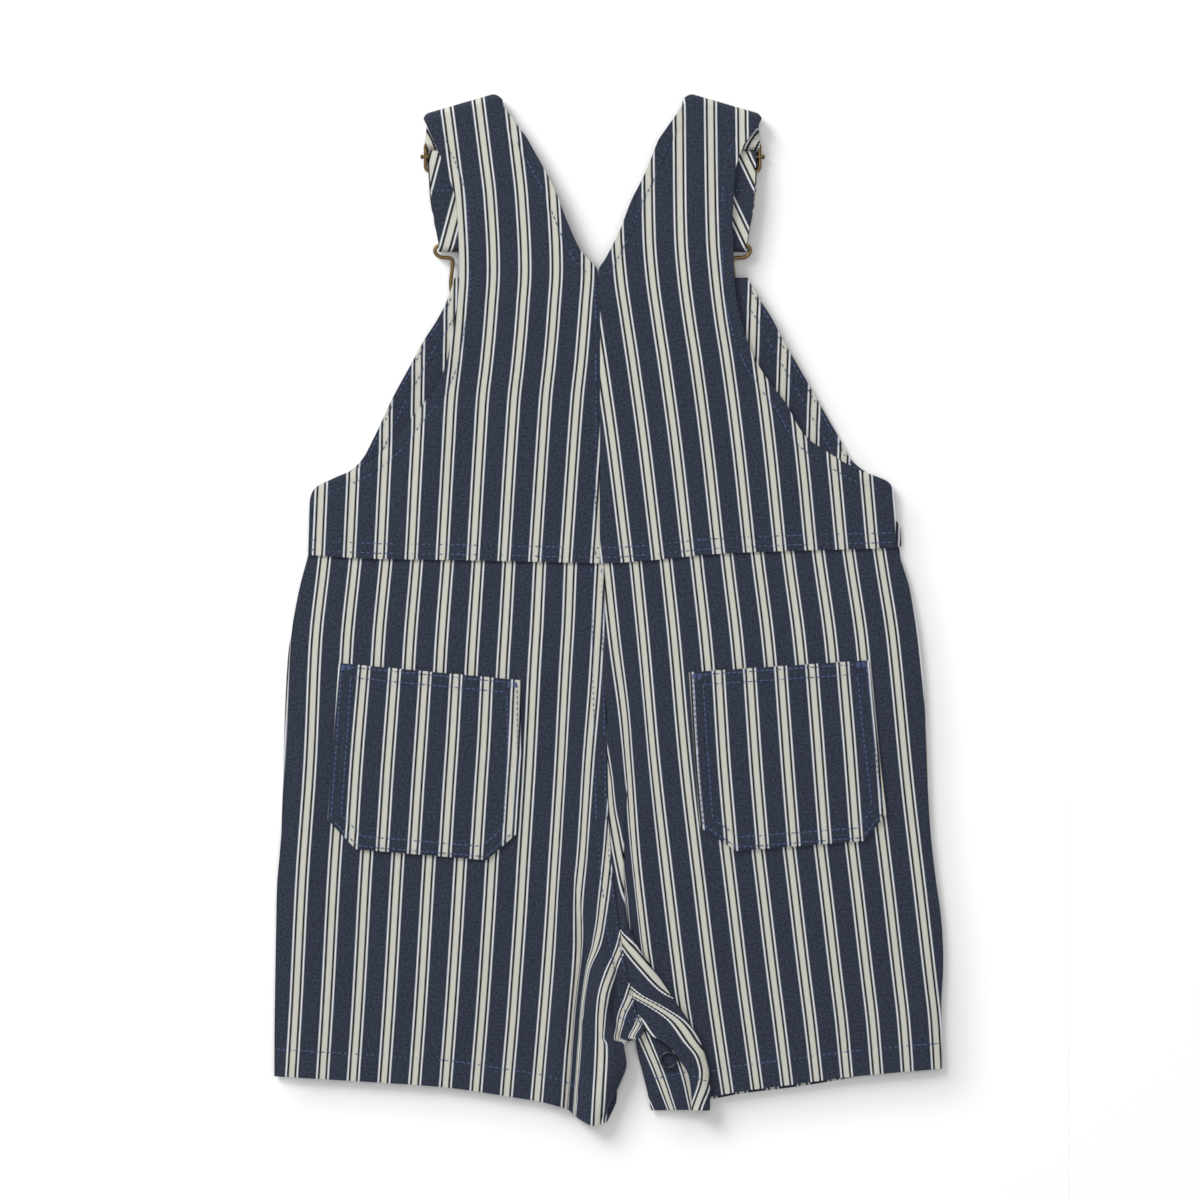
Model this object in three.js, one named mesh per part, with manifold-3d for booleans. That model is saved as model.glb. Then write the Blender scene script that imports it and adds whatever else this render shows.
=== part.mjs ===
// Kids' bib overalls with short legs, laid flat on their front with the back up. Units are millimetres and +Z is up.
// The origin is on the surface below the middle of the garment. +Y runs from the hems to the shoulders.
// Each panel is a wall of cloth worked out from rows: a row gives the places of a panel's two edges.
import * as THREE from "three";
import Module from "manifold-3d";
import { mergeVertices } from "three/addons/utils/BufferGeometryUtils.js";

const wasm = await Module();
wasm.setup();

// Cloth and seams
const TWILL = 1.2; // one layer of the panels with its seam allowance pressed flat
const DOUBLED = 1.6; // bib and straps, faced with a second layer
const SEAM_GAP = 0.3;
const SIDE_ROLL = 6; // how fast a back panel rises from its side seam
const SEAT_LOFT = 1.0; // how far the back stands off the front inside the shorts

// Hardware
const WIRE = 1.9; // wire of the sliders and hooks
const WIRE_SIDES = 8;
const WIRE_Z = 3.2; // height at which sliders and hooks lie
const SLIDER = { halfWidth: 17.4, halfHeight: 7.3, corner: 2.5, barOverhang: 1.9, knob: 1.6, y: 225.5 };
const HOOK = { x: 64.3, barY: 181.2 };
const BUTTON = { radius: 7.5, headHeight: 2.0, neckRadius: 2.4, top: 4.1, y: 153.5 };
const RING_SNAP = { x: 29.6, y: -225.2, radius: 3.8, wire: 0.7, tilt: 0.08 };

// Straps
const GARMENT_AXIS = -8.2; // the line midway between the two straps
const STRAP_WRAP = 2.4; // middle of the strap's turn round a wire
const FRONT_STRAP_Z = DOUBLED / 2;
const RETURN_STRAP_Z = WIRE_Z + STRAP_WRAP;
const BACK_STRAP_Z = RETURN_STRAP_Z + DOUBLED + SEAM_GAP;
const SHOULDER_ROLL = (BACK_STRAP_Z - FRONT_STRAP_Z) / 2;

// Front bib: it rises towards its top, where the buttons lie under it
const BIB_LIFT = { from: 80, to: 148, height: BUTTON.top + SEAM_GAP };
// Back bib: it rises from the waist to the straps
const BACK_RISE = { from: 58, to: 158 };

// Waist seam: its height along the body, lower at the centre back
const WAIST = [
  { x: -150, y: 27.3 },
  { x: -117, y: 25.4 },
  { x: -77, y: 24.8 },
  { x: -31, y: 23.8 },
  { x: -3, y: 23.2 },
  { x: 22, y: 24.8 },
  { x: 53, y: 27.8 },
  { x: 88, y: 29.3 },
  { x: 143, y: 30.8 },
];

// Back bib, from the waist to the shoulder: the outer edge runs up the side and round the armhole, the inner edge
// up the centre seam and along the neck V
const BACK_BIB_LEFT = [
  { outerX: -150, outerY: 27.6, innerX: -4.6, innerY: 23.5 },
  { outerX: -149.6, outerY: 43, innerX: -4.8, innerY: 42 },
  { outerX: -148.5, outerY: 59, innerX: -4.8, innerY: 62 },
  { outerX: -139.5, outerY: 63.8, innerX: -4.8, innerY: 71 },
  { outerX: -125.5, outerY: 69.8, innerX: -4.7, innerY: 80 },
  { outerX: -112, outerY: 78.8, innerX: -4.6, innerY: 90 },
  { outerX: -97.5, outerY: 96.2, innerX: -4.6, innerY: 104 },
  { outerX: -86.5, outerY: 110.2, innerX: -4.6, innerY: 118 },
  { outerX: -81, outerY: 122.8, innerX: -4.6, innerY: 132 },
  { outerX: -77.5, outerY: 140.8, innerX: -4.7, innerY: 148 },
  { outerX: -75.2, outerY: 155.2, innerX: -4.9, innerY: 160 },
  { outerX: -74.5, outerY: 168, innerX: -5.6, innerY: 168.2 },
  { outerX: -74.8, outerY: 180, innerX: -14, innerY: 178.2 },
  { outerX: -75.2, outerY: 190.2, innerX: -20.5, innerY: 192 },
  { outerX: -76.6, outerY: 204.2, innerX: -26, innerY: 206.2 },
  { outerX: -81, outerY: 218.2, innerX: -32, innerY: 218.2 },
  { outerX: -86.5, outerY: 231, innerX: -41, innerY: 234.5 },
];
const BACK_BIB_RIGHT = [
  { outerX: 143, outerY: 31.1, innerX: -4.3, innerY: 23.5 },
  { outerX: 143, outerY: 42, innerX: -4.4, innerY: 42 },
  { outerX: 140.8, outerY: 61.5, innerX: -4.4, innerY: 64 },
  { outerX: 134.5, outerY: 65.2, innerX: -4.3, innerY: 73 },
  { outerX: 125, outerY: 68.8, innerX: -4.3, innerY: 81 },
  { outerX: 108, outerY: 78.5, innerX: -4.3, innerY: 91 },
  { outerX: 98, outerY: 85.8, innerX: -4.3, innerY: 101 },
  { outerX: 87.5, outerY: 103.2, innerX: -4.3, innerY: 115 },
  { outerX: 79, outerY: 114.2, innerX: -4.3, innerY: 127 },
  { outerX: 72, outerY: 125.8, innerX: -4.3, innerY: 139 },
  { outerX: 66, outerY: 142.5, innerX: -4.3, innerY: 152 },
  { outerX: 62.5, outerY: 162, innerX: -5.2, innerY: 167.6 },
  { outerX: 62, outerY: 176.2, innerX: -1.5, innerY: 174.8 },
  { outerX: 61.5, outerY: 190.2, innerX: 5, innerY: 187.5 },
  { outerX: 62, outerY: 204.2, innerX: 11, innerY: 203 },
  { outerX: 63, outerY: 218.2, innerX: 17.5, innerY: 216 },
  { outerX: 67, outerY: 231, innerX: 24.6, innerY: 233.5 },
];

// Shoulder fold: distances from the garment's axis to its outer and inner ends
const SHOULDER = { outer: 83.2, outerY: 242.6, inner: 45.6, innerY: 253.55 };
// Front run of the strap, under the back run, from the shoulder fold down to the hook
const FRONT_RUN = [
  { outer: 83.4, outerY: 232, inner: 47.6, innerY: 238 },
  { outer: 82.2, outerY: 221, inner: 50, innerY: 222 },
  { outer: 81.3, outerY: 206, inner: 51, innerY: 206 },
  { outer: 78.6, outerY: 190, inner: 51.8, innerY: 190 },
  { outer: 76.9, outerY: 181.2, inner: 51.8, innerY: 181.2 },
];
// Return run: the strap's end, up from the hook to the bar of the slider, on top of the front run
const RETURN_RUN = [
  { outer: 76.6, outerY: 181.2, inner: 51.8, innerY: 181.2 },
  { outer: 78.2, outerY: 190, inner: 51.9, innerY: 190 },
  { outer: 80.6, outerY: 206, inner: 51.2, innerY: 206 },
  { outer: 81.5, outerY: 225.5, inner: 50.4, innerY: 225.5 },
];

// Front bib: the places of its side edges, from the waist to the top edge
const FRONT_BIB = [
  { y: 27.5, left: -148, right: 146 },
  { y: 40, left: -148, right: 145.5 },
  { y: 46, left: -148, right: 141.6 },
  { y: 57, left: -147, right: 139.6 },
  { y: 64, left: -136, right: 133.5 },
  { y: 74.2, left: -123.5, right: 121 },
  { y: 84.2, left: -118, right: 115.5 },
  { y: 104.2, left: -108.5, right: 104 },
  { y: 124.2, left: -97.5, right: 92.5 },
  { y: 134.2, left: -92, right: 86.5 },
  { y: 144.2, left: -85.5, right: 81.5 },
  { y: 154.2, left: -80.5, right: 75 },
  { y: 165, left: -77, right: 69 },
];

// Back panels of the shorts. side is the side seam, fold the edge of the largest fold at the crotch, inner the centre
// seam and below it the inside leg. lift is how far the fold stands up beside that edge, and seamLift at the inner edge.
const BACK_LEFT = [
  { y: 23, side: -150, fold: -14, inner: -2.8, lift: 0, seamLift: 0 },
  { y: 0, side: -155.3, fold: -14, inner: -2.4, lift: 0, seamLift: 0 },
  { y: -25, side: -158.9, fold: -14, inner: -2.1, lift: 0, seamLift: 0 },
  { y: -50, side: -160, fold: -14, inner: -1.6, lift: 0, seamLift: 0 },
  { y: -75, side: -161, fold: -13, inner: -1.1, lift: 0, seamLift: 0 },
  { y: -100, side: -162, fold: -12, inner: -0.5, lift: 0, seamLift: 0.2 },
  { y: -120, side: -163, fold: -10, inner: 0.7, lift: 0.3, seamLift: 0.5 },
  { y: -140, side: -164.5, fold: -8, inner: 2.7, lift: 0.8, seamLift: 0.8 },
  { y: -155, side: -165.7, fold: -5, inner: 4.7, lift: 1.6, seamLift: 1 },
  { y: -168, side: -166, fold: -1, inner: 6.3, lift: 2.6, seamLift: 1.2 },
  { y: -180, side: -166.2, fold: 2.3, inner: 8.7, lift: 3.6, seamLift: 1.2 },
  { y: -192, side: -166.4, fold: 1, inner: 11.3, lift: 4.4, seamLift: 1.2 },
  { y: -199, side: -166.5, fold: -0.8, inner: 13.2, lift: 4.6, seamLift: 1.2 },
  { y: -205, side: -166.6, fold: 0.8, inner: 15.7, lift: 4.6, seamLift: 1.2 },
  { y: -211, side: -166.7, fold: 3.4, inner: 18.1, lift: 4.6, seamLift: 1.2 },
  { y: -218, side: -166.8, fold: 5.6, inner: 6.9, lift: 4.6, seamLift: 3.6 },
  { y: -227, side: -166.9, fold: 6.6, inner: 8.8, lift: 4.4, seamLift: 3.2 },
  { y: -237, side: -167, fold: 3.2, inner: 5.5, lift: 4.2, seamLift: 3 },
  { y: -247, side: -167, fold: -2, inner: 0.6, lift: 4, seamLift: 2.8 },
  { y: -257, side: -167, fold: -5.6, inner: -3, lift: 4, seamLift: 2.8 },
];
const BACK_RIGHT = [
  { y: 23.2, side: 143.3, fold: 10, inner: -2.4, lift: 0, seamLift: 0 },
  { y: 0, side: 150.3, fold: 10, inner: -2.0, lift: 0, seamLift: 0 },
  { y: -25, side: 154.6, fold: 10, inner: -1.7, lift: 0, seamLift: 0 },
  { y: -50, side: 157, fold: 10, inner: -1.2, lift: 0, seamLift: 0 },
  { y: -75, side: 158, fold: 9.6, inner: -0.7, lift: 0, seamLift: 0 },
  { y: -100, side: 159, fold: 8.8, inner: -0.1, lift: 0, seamLift: 0.2 },
  { y: -120, side: 160, fold: 7.6, inner: 1.1, lift: 0.3, seamLift: 0.5 },
  { y: -140, side: 161.8, fold: 7, inner: 3.1, lift: 0.9, seamLift: 0.8 },
  { y: -155, side: 163.6, fold: 8.6, inner: 5.1, lift: 2.4, seamLift: 1 },
  { y: -168, side: 165.4, fold: 13.2, inner: 6.7, lift: 3.6, seamLift: 1.2 },
  { y: -180, side: 166.4, fold: 21.4, inner: 9.1, lift: 4.4, seamLift: 1.2 },
  { y: -192, side: 166.8, fold: 29.4, inner: 11.7, lift: 4.8, seamLift: 1.4 },
  { y: -199, side: 167, fold: 34.2, inner: 13.6, lift: 5, seamLift: 1.7 },
  { y: -205, side: 166.6, fold: 38.4, inner: 16.1, lift: 5, seamLift: 2 },
  { y: -211, side: 165.4, fold: 42, inner: 18.5, lift: 5, seamLift: 2.4 },
  { y: -218, side: 165.2, fold: 45.6, inner: 29.6, lift: 5, seamLift: 4 },
  { y: -225, side: 165.8, fold: 47.8, inner: 35.2, lift: 5, seamLift: 4.2 },
  { y: -233, side: 166, fold: 49.5, inner: 39.8, lift: 5, seamLift: 4.2 },
  { y: -241, side: 166, fold: 49.8, inner: 41, lift: 5, seamLift: 3.8 },
  { y: -250, side: 166, fold: 49.8, inner: 41.5, lift: 5, seamLift: 3.8 },
];
// Hems of the back panels, from the side seam to the inside leg
const HEM_LEFT = [
  { x: -167, y: -233.5 },
  { x: -128, y: -235.8 },
  { x: -84, y: -238.8 },
  { x: -52, y: -243.3 },
  { x: -22, y: -249.4 },
  { x: -14, y: -255 },
  { x: -7, y: -257.8 },
  { x: -3, y: -257 },
];
const HEM_RIGHT = [
  { x: 50, y: -243.8 },
  { x: 67, y: -240.8 },
  { x: 90, y: -237.8 },
  { x: 116, y: -234.3 },
  { x: 141, y: -231.8 },
  { x: 166, y: -229.8 },
];

// Front panels of the shorts, flat on the surface; the right one shows at the side and below the back hem
const FRONT_LEFT = [
  { y: 27, side: -149.5, inner: -4.7 },
  { y: 0, side: -155.6, inner: -4.7 },
  { y: -25, side: -160, inner: -4.7 },
  { y: -75, side: -162.3, inner: -4 },
  { y: -125, side: -163.8, inner: -2 },
  { y: -160, side: -165.4, inner: 1 },
  { y: -200, side: -166, inner: 4 },
  { y: -212, side: -166, inner: 5 },
  { y: -228, side: -166, inner: 4 },
  { y: -240, side: -166.2, inner: -1 },
];
const FRONT_RIGHT = [
  { y: 30, side: 145, inner: -4.4 },
  { y: 0, side: 150.6, inner: -4.4 },
  { y: -25, side: 155.4, inner: -4.4 },
  { y: -75, side: 158.6, inner: -3.7 },
  { y: -125, side: 159.6, inner: -1.7 },
  { y: -160, side: 164, inner: 2 },
  { y: -200, side: 166, inner: 9 },
  { y: -214, side: 164.4, inner: 15 },
  { y: -230, side: 164.8, inner: 20 },
  { y: -244, side: 165, inner: 24 },
];
const FRONT_HEM_RIGHT = [
  { x: 24, y: -246 },
  { x: 50, y: -245 },
  { x: 67, y: -242.2 },
  { x: 90, y: -239.2 },
  { x: 112, y: -235.6 },
  { x: 141, y: -230.8 },
  { x: 166, y: -228.8 },
];

// Patch pockets, from the mouth to the bottom: side edges in, then the cut-off corners
const POCKET_LEFT = [
  { leftX: -134.8, leftY: -27.2, rightX: -44.3, rightY: -35.8 },
  { leftX: -137.4, leftY: -66, rightX: -44, rightY: -73 },
  { leftX: -140.3, leftY: -105.2, rightX: -46.4, rightY: -112.4 },
  { leftX: -126.2, leftY: -120, rightX: -61, rightY: -125.4 },
];
const POCKET_RIGHT = [
  { leftX: 40, leftY: -31.8, rightX: 129.7, rightY: -25.8 },
  { leftX: 42.4, leftY: -70, rightX: 133.6, rightY: -64 },
  { leftX: 45.4, leftY: -108.8, rightX: 138.2, rightY: -102.2 },
  { leftX: 63.5, leftY: -120.8, rightX: 127.3, rightY: -115.8 },
];
const POCKET_CROWN = 0.7; // how far the mouth of a pocket stands off the seat

// Snap placket on the front's inside leg, which laps round to the back of the right leg
const PLACKET = [
  { leftX: 13, leftY: -212.6, rightX: 24, rightY: -208, rightZ: 2.2 },
  { leftX: 14, leftY: -220.8, rightX: 33, rightY: -219, rightZ: 3.4 },
  { leftX: 16.5, leftY: -230.8, rightX: 43, rightY: -231, rightZ: 3.8 },
  { leftX: 19, leftY: -240.8, rightX: 45, rightY: -241, rightZ: 3.8 },
  { leftX: 21, leftY: -250.6, rightX: 46, rightY: -250, rightZ: 3.8 },
];

const vec = (x, y, z) => new THREE.Vector3(x, y, z);
const mix = (a, b, t) => a + (b - a) * t;
const ease = (t) => {
  const c = Math.min(1, Math.max(0, t));
  return c * c * (3 - 2 * c);
};

// Reads a column of a table at a place between its rows
function lookUp(table, key, place, column) {
  const rising = table[table.length - 1][key] > table[0][key];
  const k = table.findIndex((row) => (rising ? row[key] >= place : row[key] <= place));
  if (k === 0) return table[0][column];
  if (k < 0) return table[table.length - 1][column];
  const [a, b] = [table[k - 1], table[k]];
  return mix(a[column], b[column], (place - a[key]) / (b[key] - a[key]));
}
const waistAt = (x) => lookUp(WAIST, "x", x, "y");

// A closed wall of cloth round a grid of points on its middle surface
function clothWall(grid, thickness) {
  const rows = grid.length;
  const columns = grid[0].length;
  const normals = grid.map((row, i) =>
    row.map((_, j) => {
      const along = vec(0, 0, 0).subVectors(
        grid[Math.min(i + 1, rows - 1)][j], grid[Math.max(i - 1, 0)][j]);
      const across = vec(0, 0, 0).subVectors(row[Math.min(j + 1, columns - 1)], row[Math.max(j - 1, 0)]);
      return across.cross(along).normalize();
    }));
  const positions = [];
  const faceOut = (side) =>
    grid.forEach((row, i) =>
      row.forEach((p, j) =>
        positions.push(...p.clone().addScaledVector(normals[i][j], (side * thickness) / 2).toArray())));
  faceOut(1);
  faceOut(-1);
  const at = (i, j) => i * columns + j;
  const back = rows * columns;
  const index = [];
  const quad = (a, b, c, d) => index.push(a, b, c, a, c, d);
  for (let i = 0; i + 1 < rows; i += 1)
    for (let j = 0; j + 1 < columns; j += 1) {
      quad(at(i, j), at(i, j + 1), at(i + 1, j + 1), at(i + 1, j));
      quad(back + at(i, j), back + at(i + 1, j), back + at(i + 1, j + 1), back + at(i, j + 1));
    }
  const rim = [];
  for (let j = 0; j + 1 < columns; j += 1) rim.push(at(0, j));
  for (let i = 0; i + 1 < rows; i += 1) rim.push(at(i, columns - 1));
  for (let j = columns - 1; j > 0; j -= 1) rim.push(at(rows - 1, j));
  for (let i = rows - 1; i > 0; i -= 1) rim.push(at(i, 0));
  rim.forEach((a, k) => {
    const b = rim[(k + 1) % rim.length];
    quad(a, back + a, back + b, b);
  });
  const geometry = new THREE.BufferGeometry();
  geometry.setAttribute("position", new THREE.Float32BufferAttribute(positions, 3));
  geometry.setIndex(index);
  return turnedOut(geometry);
}

// The same closed surface with its faces pointing outwards
function turnedOut(geometry) {
  const p = geometry.attributes.position;
  const index = geometry.index.array;
  const [a, b, c] = [vec(0, 0, 0), vec(0, 0, 0), vec(0, 0, 0)];
  let volume = 0;
  for (let k = 0; k < index.length; k += 3) {
    a.fromBufferAttribute(p, index[k]);
    b.fromBufferAttribute(p, index[k + 1]);
    c.fromBufferAttribute(p, index[k + 2]);
    volume += a.dot(b.cross(c));
  }
  if (volume < 0)
    for (let k = 0; k < index.length; k += 3) [index[k + 1], index[k + 2]] = [index[k + 2], index[k + 1]];
  return geometry;
}

// A row of points between two ends
const rowBetween = (a, b, columns, shape = (p) => p) =>
  Array.from({ length: columns + 1 }, (_, j) => shape(a.clone().lerp(b, j / columns), j / columns));

// Back bib and strap in one piece: up the back, over the shoulder, down to the hook and back up to the slider
function backBib(table, side) {
  const columns = 8;
  const low = TWILL + SEAM_GAP + 0.4 + DOUBLED / 2;
  const backZ = (y) =>
    mix(low, BACK_STRAP_Z, ease((y - BACK_RISE.from) / (BACK_RISE.to - BACK_RISE.from)));
  const grid = table.map((row, i) =>
    rowBetween(vec(row.outerX, row.outerY, 0), vec(row.innerX, row.innerY, 0), columns, (p, s) => {
      if (i === 0) p.y = waistAt(p.x) + SEAM_GAP;
      const flat = 1 - ease((p.y - BACK_RISE.from) / 60);
      p.z = backZ(p.y) + SEAT_LOFT * (1 - Math.exp((-s * 140) / SIDE_ROLL)) * flat;
      return p;
    }));
  const fromAxis = (d) => GARMENT_AXIS + side * d;
  const outer = vec(fromAxis(SHOULDER.outer), SHOULDER.outerY, 0);
  const inner = vec(fromAxis(SHOULDER.inner), SHOULDER.innerY, 0);
  const up = vec(-(inner.y - outer.y), inner.x - outer.x, 0).normalize().multiplyScalar(-side);
  const turn = (a, b, centreZ, radius, from, to, steps, direction) => {
    for (let k = 0; k <= steps; k += 1) {
      const angle = mix(from, to, k / steps);
      const shift = direction.clone().multiplyScalar(radius * Math.cos(angle));
      shift.z = centreZ + radius * Math.sin(angle);
      grid.push(rowBetween(a.clone().add(shift), b.clone().add(shift), columns));
    }
  };
  const run = (rows, z) =>
    rows.forEach((row) =>
      grid.push(rowBetween(
        vec(fromAxis(row.outer), row.outerY, z), vec(fromAxis(row.inner), row.innerY, z), columns)));
  const half = Math.PI / 2;
  turn(outer, inner, FRONT_STRAP_Z + SHOULDER_ROLL, SHOULDER_ROLL, half, -half, 6, up);
  run(FRONT_RUN.slice(0, -1), FRONT_STRAP_Z);
  const ends = (row) => [
    vec(fromAxis(row.outer), row.outerY, 0),
    vec(fromAxis(row.inner), row.innerY, 0),
  ];
  turn(...ends(FRONT_RUN.at(-1)), WIRE_Z, STRAP_WRAP, -half, half, 6, vec(0, -1, 0));
  run(RETURN_RUN.slice(1, -1), RETURN_STRAP_Z);
  turn(...ends(RETURN_RUN.at(-1)), WIRE_Z, STRAP_WRAP, half, -0.15, 3, vec(0, 1, 0));
  return clothWall(grid, DOUBLED);
}

function frontBib() {
  const columns = 10;
  const liftAt = (y) => BIB_LIFT.height * ease((y - BIB_LIFT.from) / (BIB_LIFT.to - BIB_LIFT.from));
  const grid = FRONT_BIB.map((row, i) =>
    rowBetween(vec(row.left, row.y, 0), vec(row.right, row.y, 0), columns, (p) => {
      if (i === 0) p.y = waistAt(p.x) + SEAM_GAP;
      p.z = DOUBLED / 2 + liftAt(p.y);
      return p;
    }));
  return clothWall(grid, DOUBLED);
}

// Underside of a back panel of the shorts: it leaves the front at the side seam and stands up along the fold
const seatHeight = (fromSide) => TWILL + SEAM_GAP + SEAT_LOFT * (1 - Math.exp(-fromSide / SIDE_ROLL));

// Columns from the side seam: close together where the cloth rolls over the seam, then even to the fold
const SIDE_COLUMNS = [0, 0.012, 0.035, 0.08, 0.16, 0.28, 0.4, 0.52, 0.64, 0.75, 0.84, 0.9, 0.95, 0.98];
const FOLD_STEP = 1.6; // width over which the cloth drops from the fold to the layer beside it
const FOLD_COLUMNS = 3;

// foldUp says which side of the fold's edge is the upper one: the seam's side or the leg's
function backShorts(table, hem, foldUp) {
  const top = table[0].y;
  const bottom = table.at(-1).y;
  const towardsLeg = Math.sign(table[0].side);
  const grid = table.map((row) => {
    const t = (top - row.y) / (top - bottom);
    const point = (x, hemX, z) =>
      vec(x, mix(waistAt(x), lookUp(hem, "x", hemX, "y"), t), z + TWILL / 2);
    const last = table.at(-1);
    const upperOfLeg = foldUp === "leg" ? row.lift : 0;
    const points = SIDE_COLUMNS.map((s) => {
      const x = mix(row.side, row.fold, s);
      const near = ease((s - 0.84) / 0.16);
      return point(x, mix(last.side, last.fold, s), seatHeight(Math.abs(x - row.side)) + upperOfLeg * near);
    });
    const seam = TWILL + SEAM_GAP + SEAT_LOFT + row.seamLift;
    const edgeX = row.fold + (towardsLeg * FOLD_STEP) / 2;
    const beside = row.fold - (towardsLeg * FOLD_STEP) / 2;
    const flat = TWILL + SEAM_GAP + SEAT_LOFT;
    points.push(point(edgeX, last.fold, flat + upperOfLeg));
    const ridge = foldUp === "seam" ? flat + row.lift : flat + Math.min(row.lift, row.seamLift);
    for (let k = 0; k <= FOLD_COLUMNS; k += 1) {
      const s = k / FOLD_COLUMNS;
      const x = mix(beside, row.inner, s);
      const p = point(x, last.inner, mix(ridge, seam, ease(s)));
      p.y = mix(waistAt(x), bottom, t);
      points.push(p);
    }
    return points;
  });
  return clothWall(grid, TWILL);
}

function frontShorts(table, hem) {
  const columns = 5;
  const top = table[0].y;
  const bottom = table.at(-1).y;
  const last = table.at(-1);
  const grid = table.map((row) =>
    Array.from({ length: columns + 1 }, (_, j) => {
      const s = j / columns;
      const x = mix(row.side, row.inner, s);
      const hemY = lookUp(hem, "x", mix(last.side, last.inner, s), "y");
      return vec(x, mix(waistAt(x), hemY, (top - row.y) / (top - bottom)), TWILL / 2);
    }));
  return clothWall(grid, TWILL);
}

// A pocket lies on the seat: its points are the seat's, moved out
function pocket(table) {
  const steps = 3;
  const columns = 8;
  const base = TWILL + SEAM_GAP + SEAT_LOFT + TWILL + SEAM_GAP + TWILL / 2;
  const grid = [];
  table.slice(0, -1).forEach((row, k) => {
    const next = table[k + 1];
    const count = k === table.length - 2 ? 1 : steps;
    for (let i = 0; i < count + (k === table.length - 2 ? 1 : 0); i += 1) {
      const t = i / count;
      const depth = (k + t) / (table.length - 1);
      grid.push(rowBetween(
        vec(mix(row.leftX, next.leftX, t), mix(row.leftY, next.leftY, t), 0),
        vec(mix(row.rightX, next.rightX, t), mix(row.rightY, next.rightY, t), 0),
        columns,
        (p, s) => p.setZ(base + POCKET_CROWN * Math.sin(Math.PI * s) * (1 - depth))));
    }
  });
  return clothWall(grid, TWILL);
}

const PLACKET_LOW = TWILL + SEAM_GAP + TWILL / 2;
function placket() {
  const columns = 6;
  const grid = PLACKET.map((row) =>
    rowBetween(vec(row.leftX, row.leftY, 0), vec(row.rightX, row.rightY, 0), columns,
      (p, s) => p.setZ(mix(PLACKET_LOW, row.rightZ, ease(s)))));
  return clothWall(grid, TWILL);
}

// A closed ring of round wire along a loop of points that lies flat
function wireLoop(points, wire, z) {
  const positions = [];
  const index = [];
  const count = points.length;
  points.forEach((p, i) => {
    const along = points[(i + 1) % count].clone().sub(points[(i + count - 1) % count]).normalize();
    for (let k = 0; k < WIRE_SIDES; k += 1) {
      const angle = (2 * Math.PI * (k + 0.5)) / WIRE_SIDES;
      const out = (wire / 2) * Math.cos(angle);
      positions.push(p.x + along.y * out, p.y - along.x * out, z + (wire / 2) * Math.sin(angle));
      const next = i * WIRE_SIDES + ((k + 1) % WIRE_SIDES);
      const here = i * WIRE_SIDES + k;
      const turn = ((i + 1) % count) * WIRE_SIDES;
      index.push(here, next, turn + ((k + 1) % WIRE_SIDES), here, turn + ((k + 1) % WIRE_SIDES), turn + k);
    }
  });
  const geometry = new THREE.BufferGeometry();
  geometry.setAttribute("position", new THREE.Float32BufferAttribute(positions, 3));
  geometry.setIndex(index);
  return turnedOut(geometry);
}

function solid(geometry) {
  const bare = geometry.clone();
  bare.deleteAttribute("normal");
  bare.deleteAttribute("uv");
  const merged = mergeVertices(bare, 1e-4);
  return new wasm.Manifold(new wasm.Mesh({
    numProp: 3,
    vertProperties: merged.attributes.position.array,
    triVerts: new Uint32Array(merged.index.array),
  }));
}

function joined(...geometries) {
  const mesh = geometries.map(solid).reduce((a, b) => a.add(b)).getMesh();
  const geometry = new THREE.BufferGeometry();
  geometry.setAttribute("position", new THREE.BufferAttribute(mesh.vertProperties, 3));
  geometry.setIndex(new THREE.BufferAttribute(mesh.triVerts, 1));
  return geometry;
}

// Slider: a frame of wire with a bar across its middle, whose ends are riveted over
function slider(side) {
  const { halfWidth, halfHeight, corner, barOverhang, knob, y } = SLIDER;
  const x = GARMENT_AXIS + side * ((RETURN_RUN.at(-1).outer + RETURN_RUN.at(-1).inner) / 2);
  const outline = [];
  [[1, 1], [-1, 1], [-1, -1], [1, -1]].forEach(([sx, sy], quarter) => {
    for (let k = 0; k <= 3; k += 1) {
      const angle = (quarter + k / 3) * (Math.PI / 2);
      outline.push(new THREE.Vector2(
        x + sx * (halfWidth - corner) + corner * Math.cos(angle),
        y + sy * (halfHeight - corner) + corner * Math.sin(angle)));
    }
  });
  const reach = halfWidth + barOverhang;
  const bar = new THREE.CylinderGeometry(WIRE / 2.2, WIRE / 2.2, 2 * reach, WIRE_SIDES);
  bar.rotateZ(Math.PI / 2).translate(x, y, WIRE_Z);
  const end = (s) =>
    new THREE.SphereGeometry(knob, WIRE_SIDES, 6)
      .rotateZ(Math.PI / 2).scale(0.5, 0.75, 0.75).translate(x + s * reach, y, WIRE_Z);
  return joined(wireLoop(outline, WIRE, WIRE_Z), bar, end(-1), end(1));
}

// Hook: a bar in the strap's fold, shoulders down to a neck, and a keyhole that closes round the button's neck
const HOOK_HALF = [
  { out: 10.5, y: 181.2 },
  { out: 13.2, y: 180.5 },
  { out: 13.9, y: 178.2 },
  { out: 12.4, y: 176.2 },
  { out: 9, y: 175 },
  { out: 6.2, y: 173.4 },
  { out: 5.3, y: 170.6 },
  { out: 5.9, y: 166.5 },
  { out: 6.4, y: 161.5 },
  { out: 5.6, y: 155.5 },
  { out: 3.6, y: 151.2 },
];
function hook(side) {
  const x = GARMENT_AXIS + side * HOOK.x;
  const right = HOOK_HALF.map((row) => vec(x + row.out, row.y, 0));
  const left = HOOK_HALF.map((row) => vec(x - row.out, row.y, 0)).reverse();
  const path = new THREE.CatmullRomCurve3(
    [vec(x, HOOK.barY, 0), ...right, vec(x, BUTTON.y - 4, 0), ...left], true, "centripetal");
  const points = path.getSpacedPoints(52).slice(0, -1).map((p) => new THREE.Vector2(p.x, p.y));
  return wireLoop(points, WIRE, WIRE_Z);
}

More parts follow.
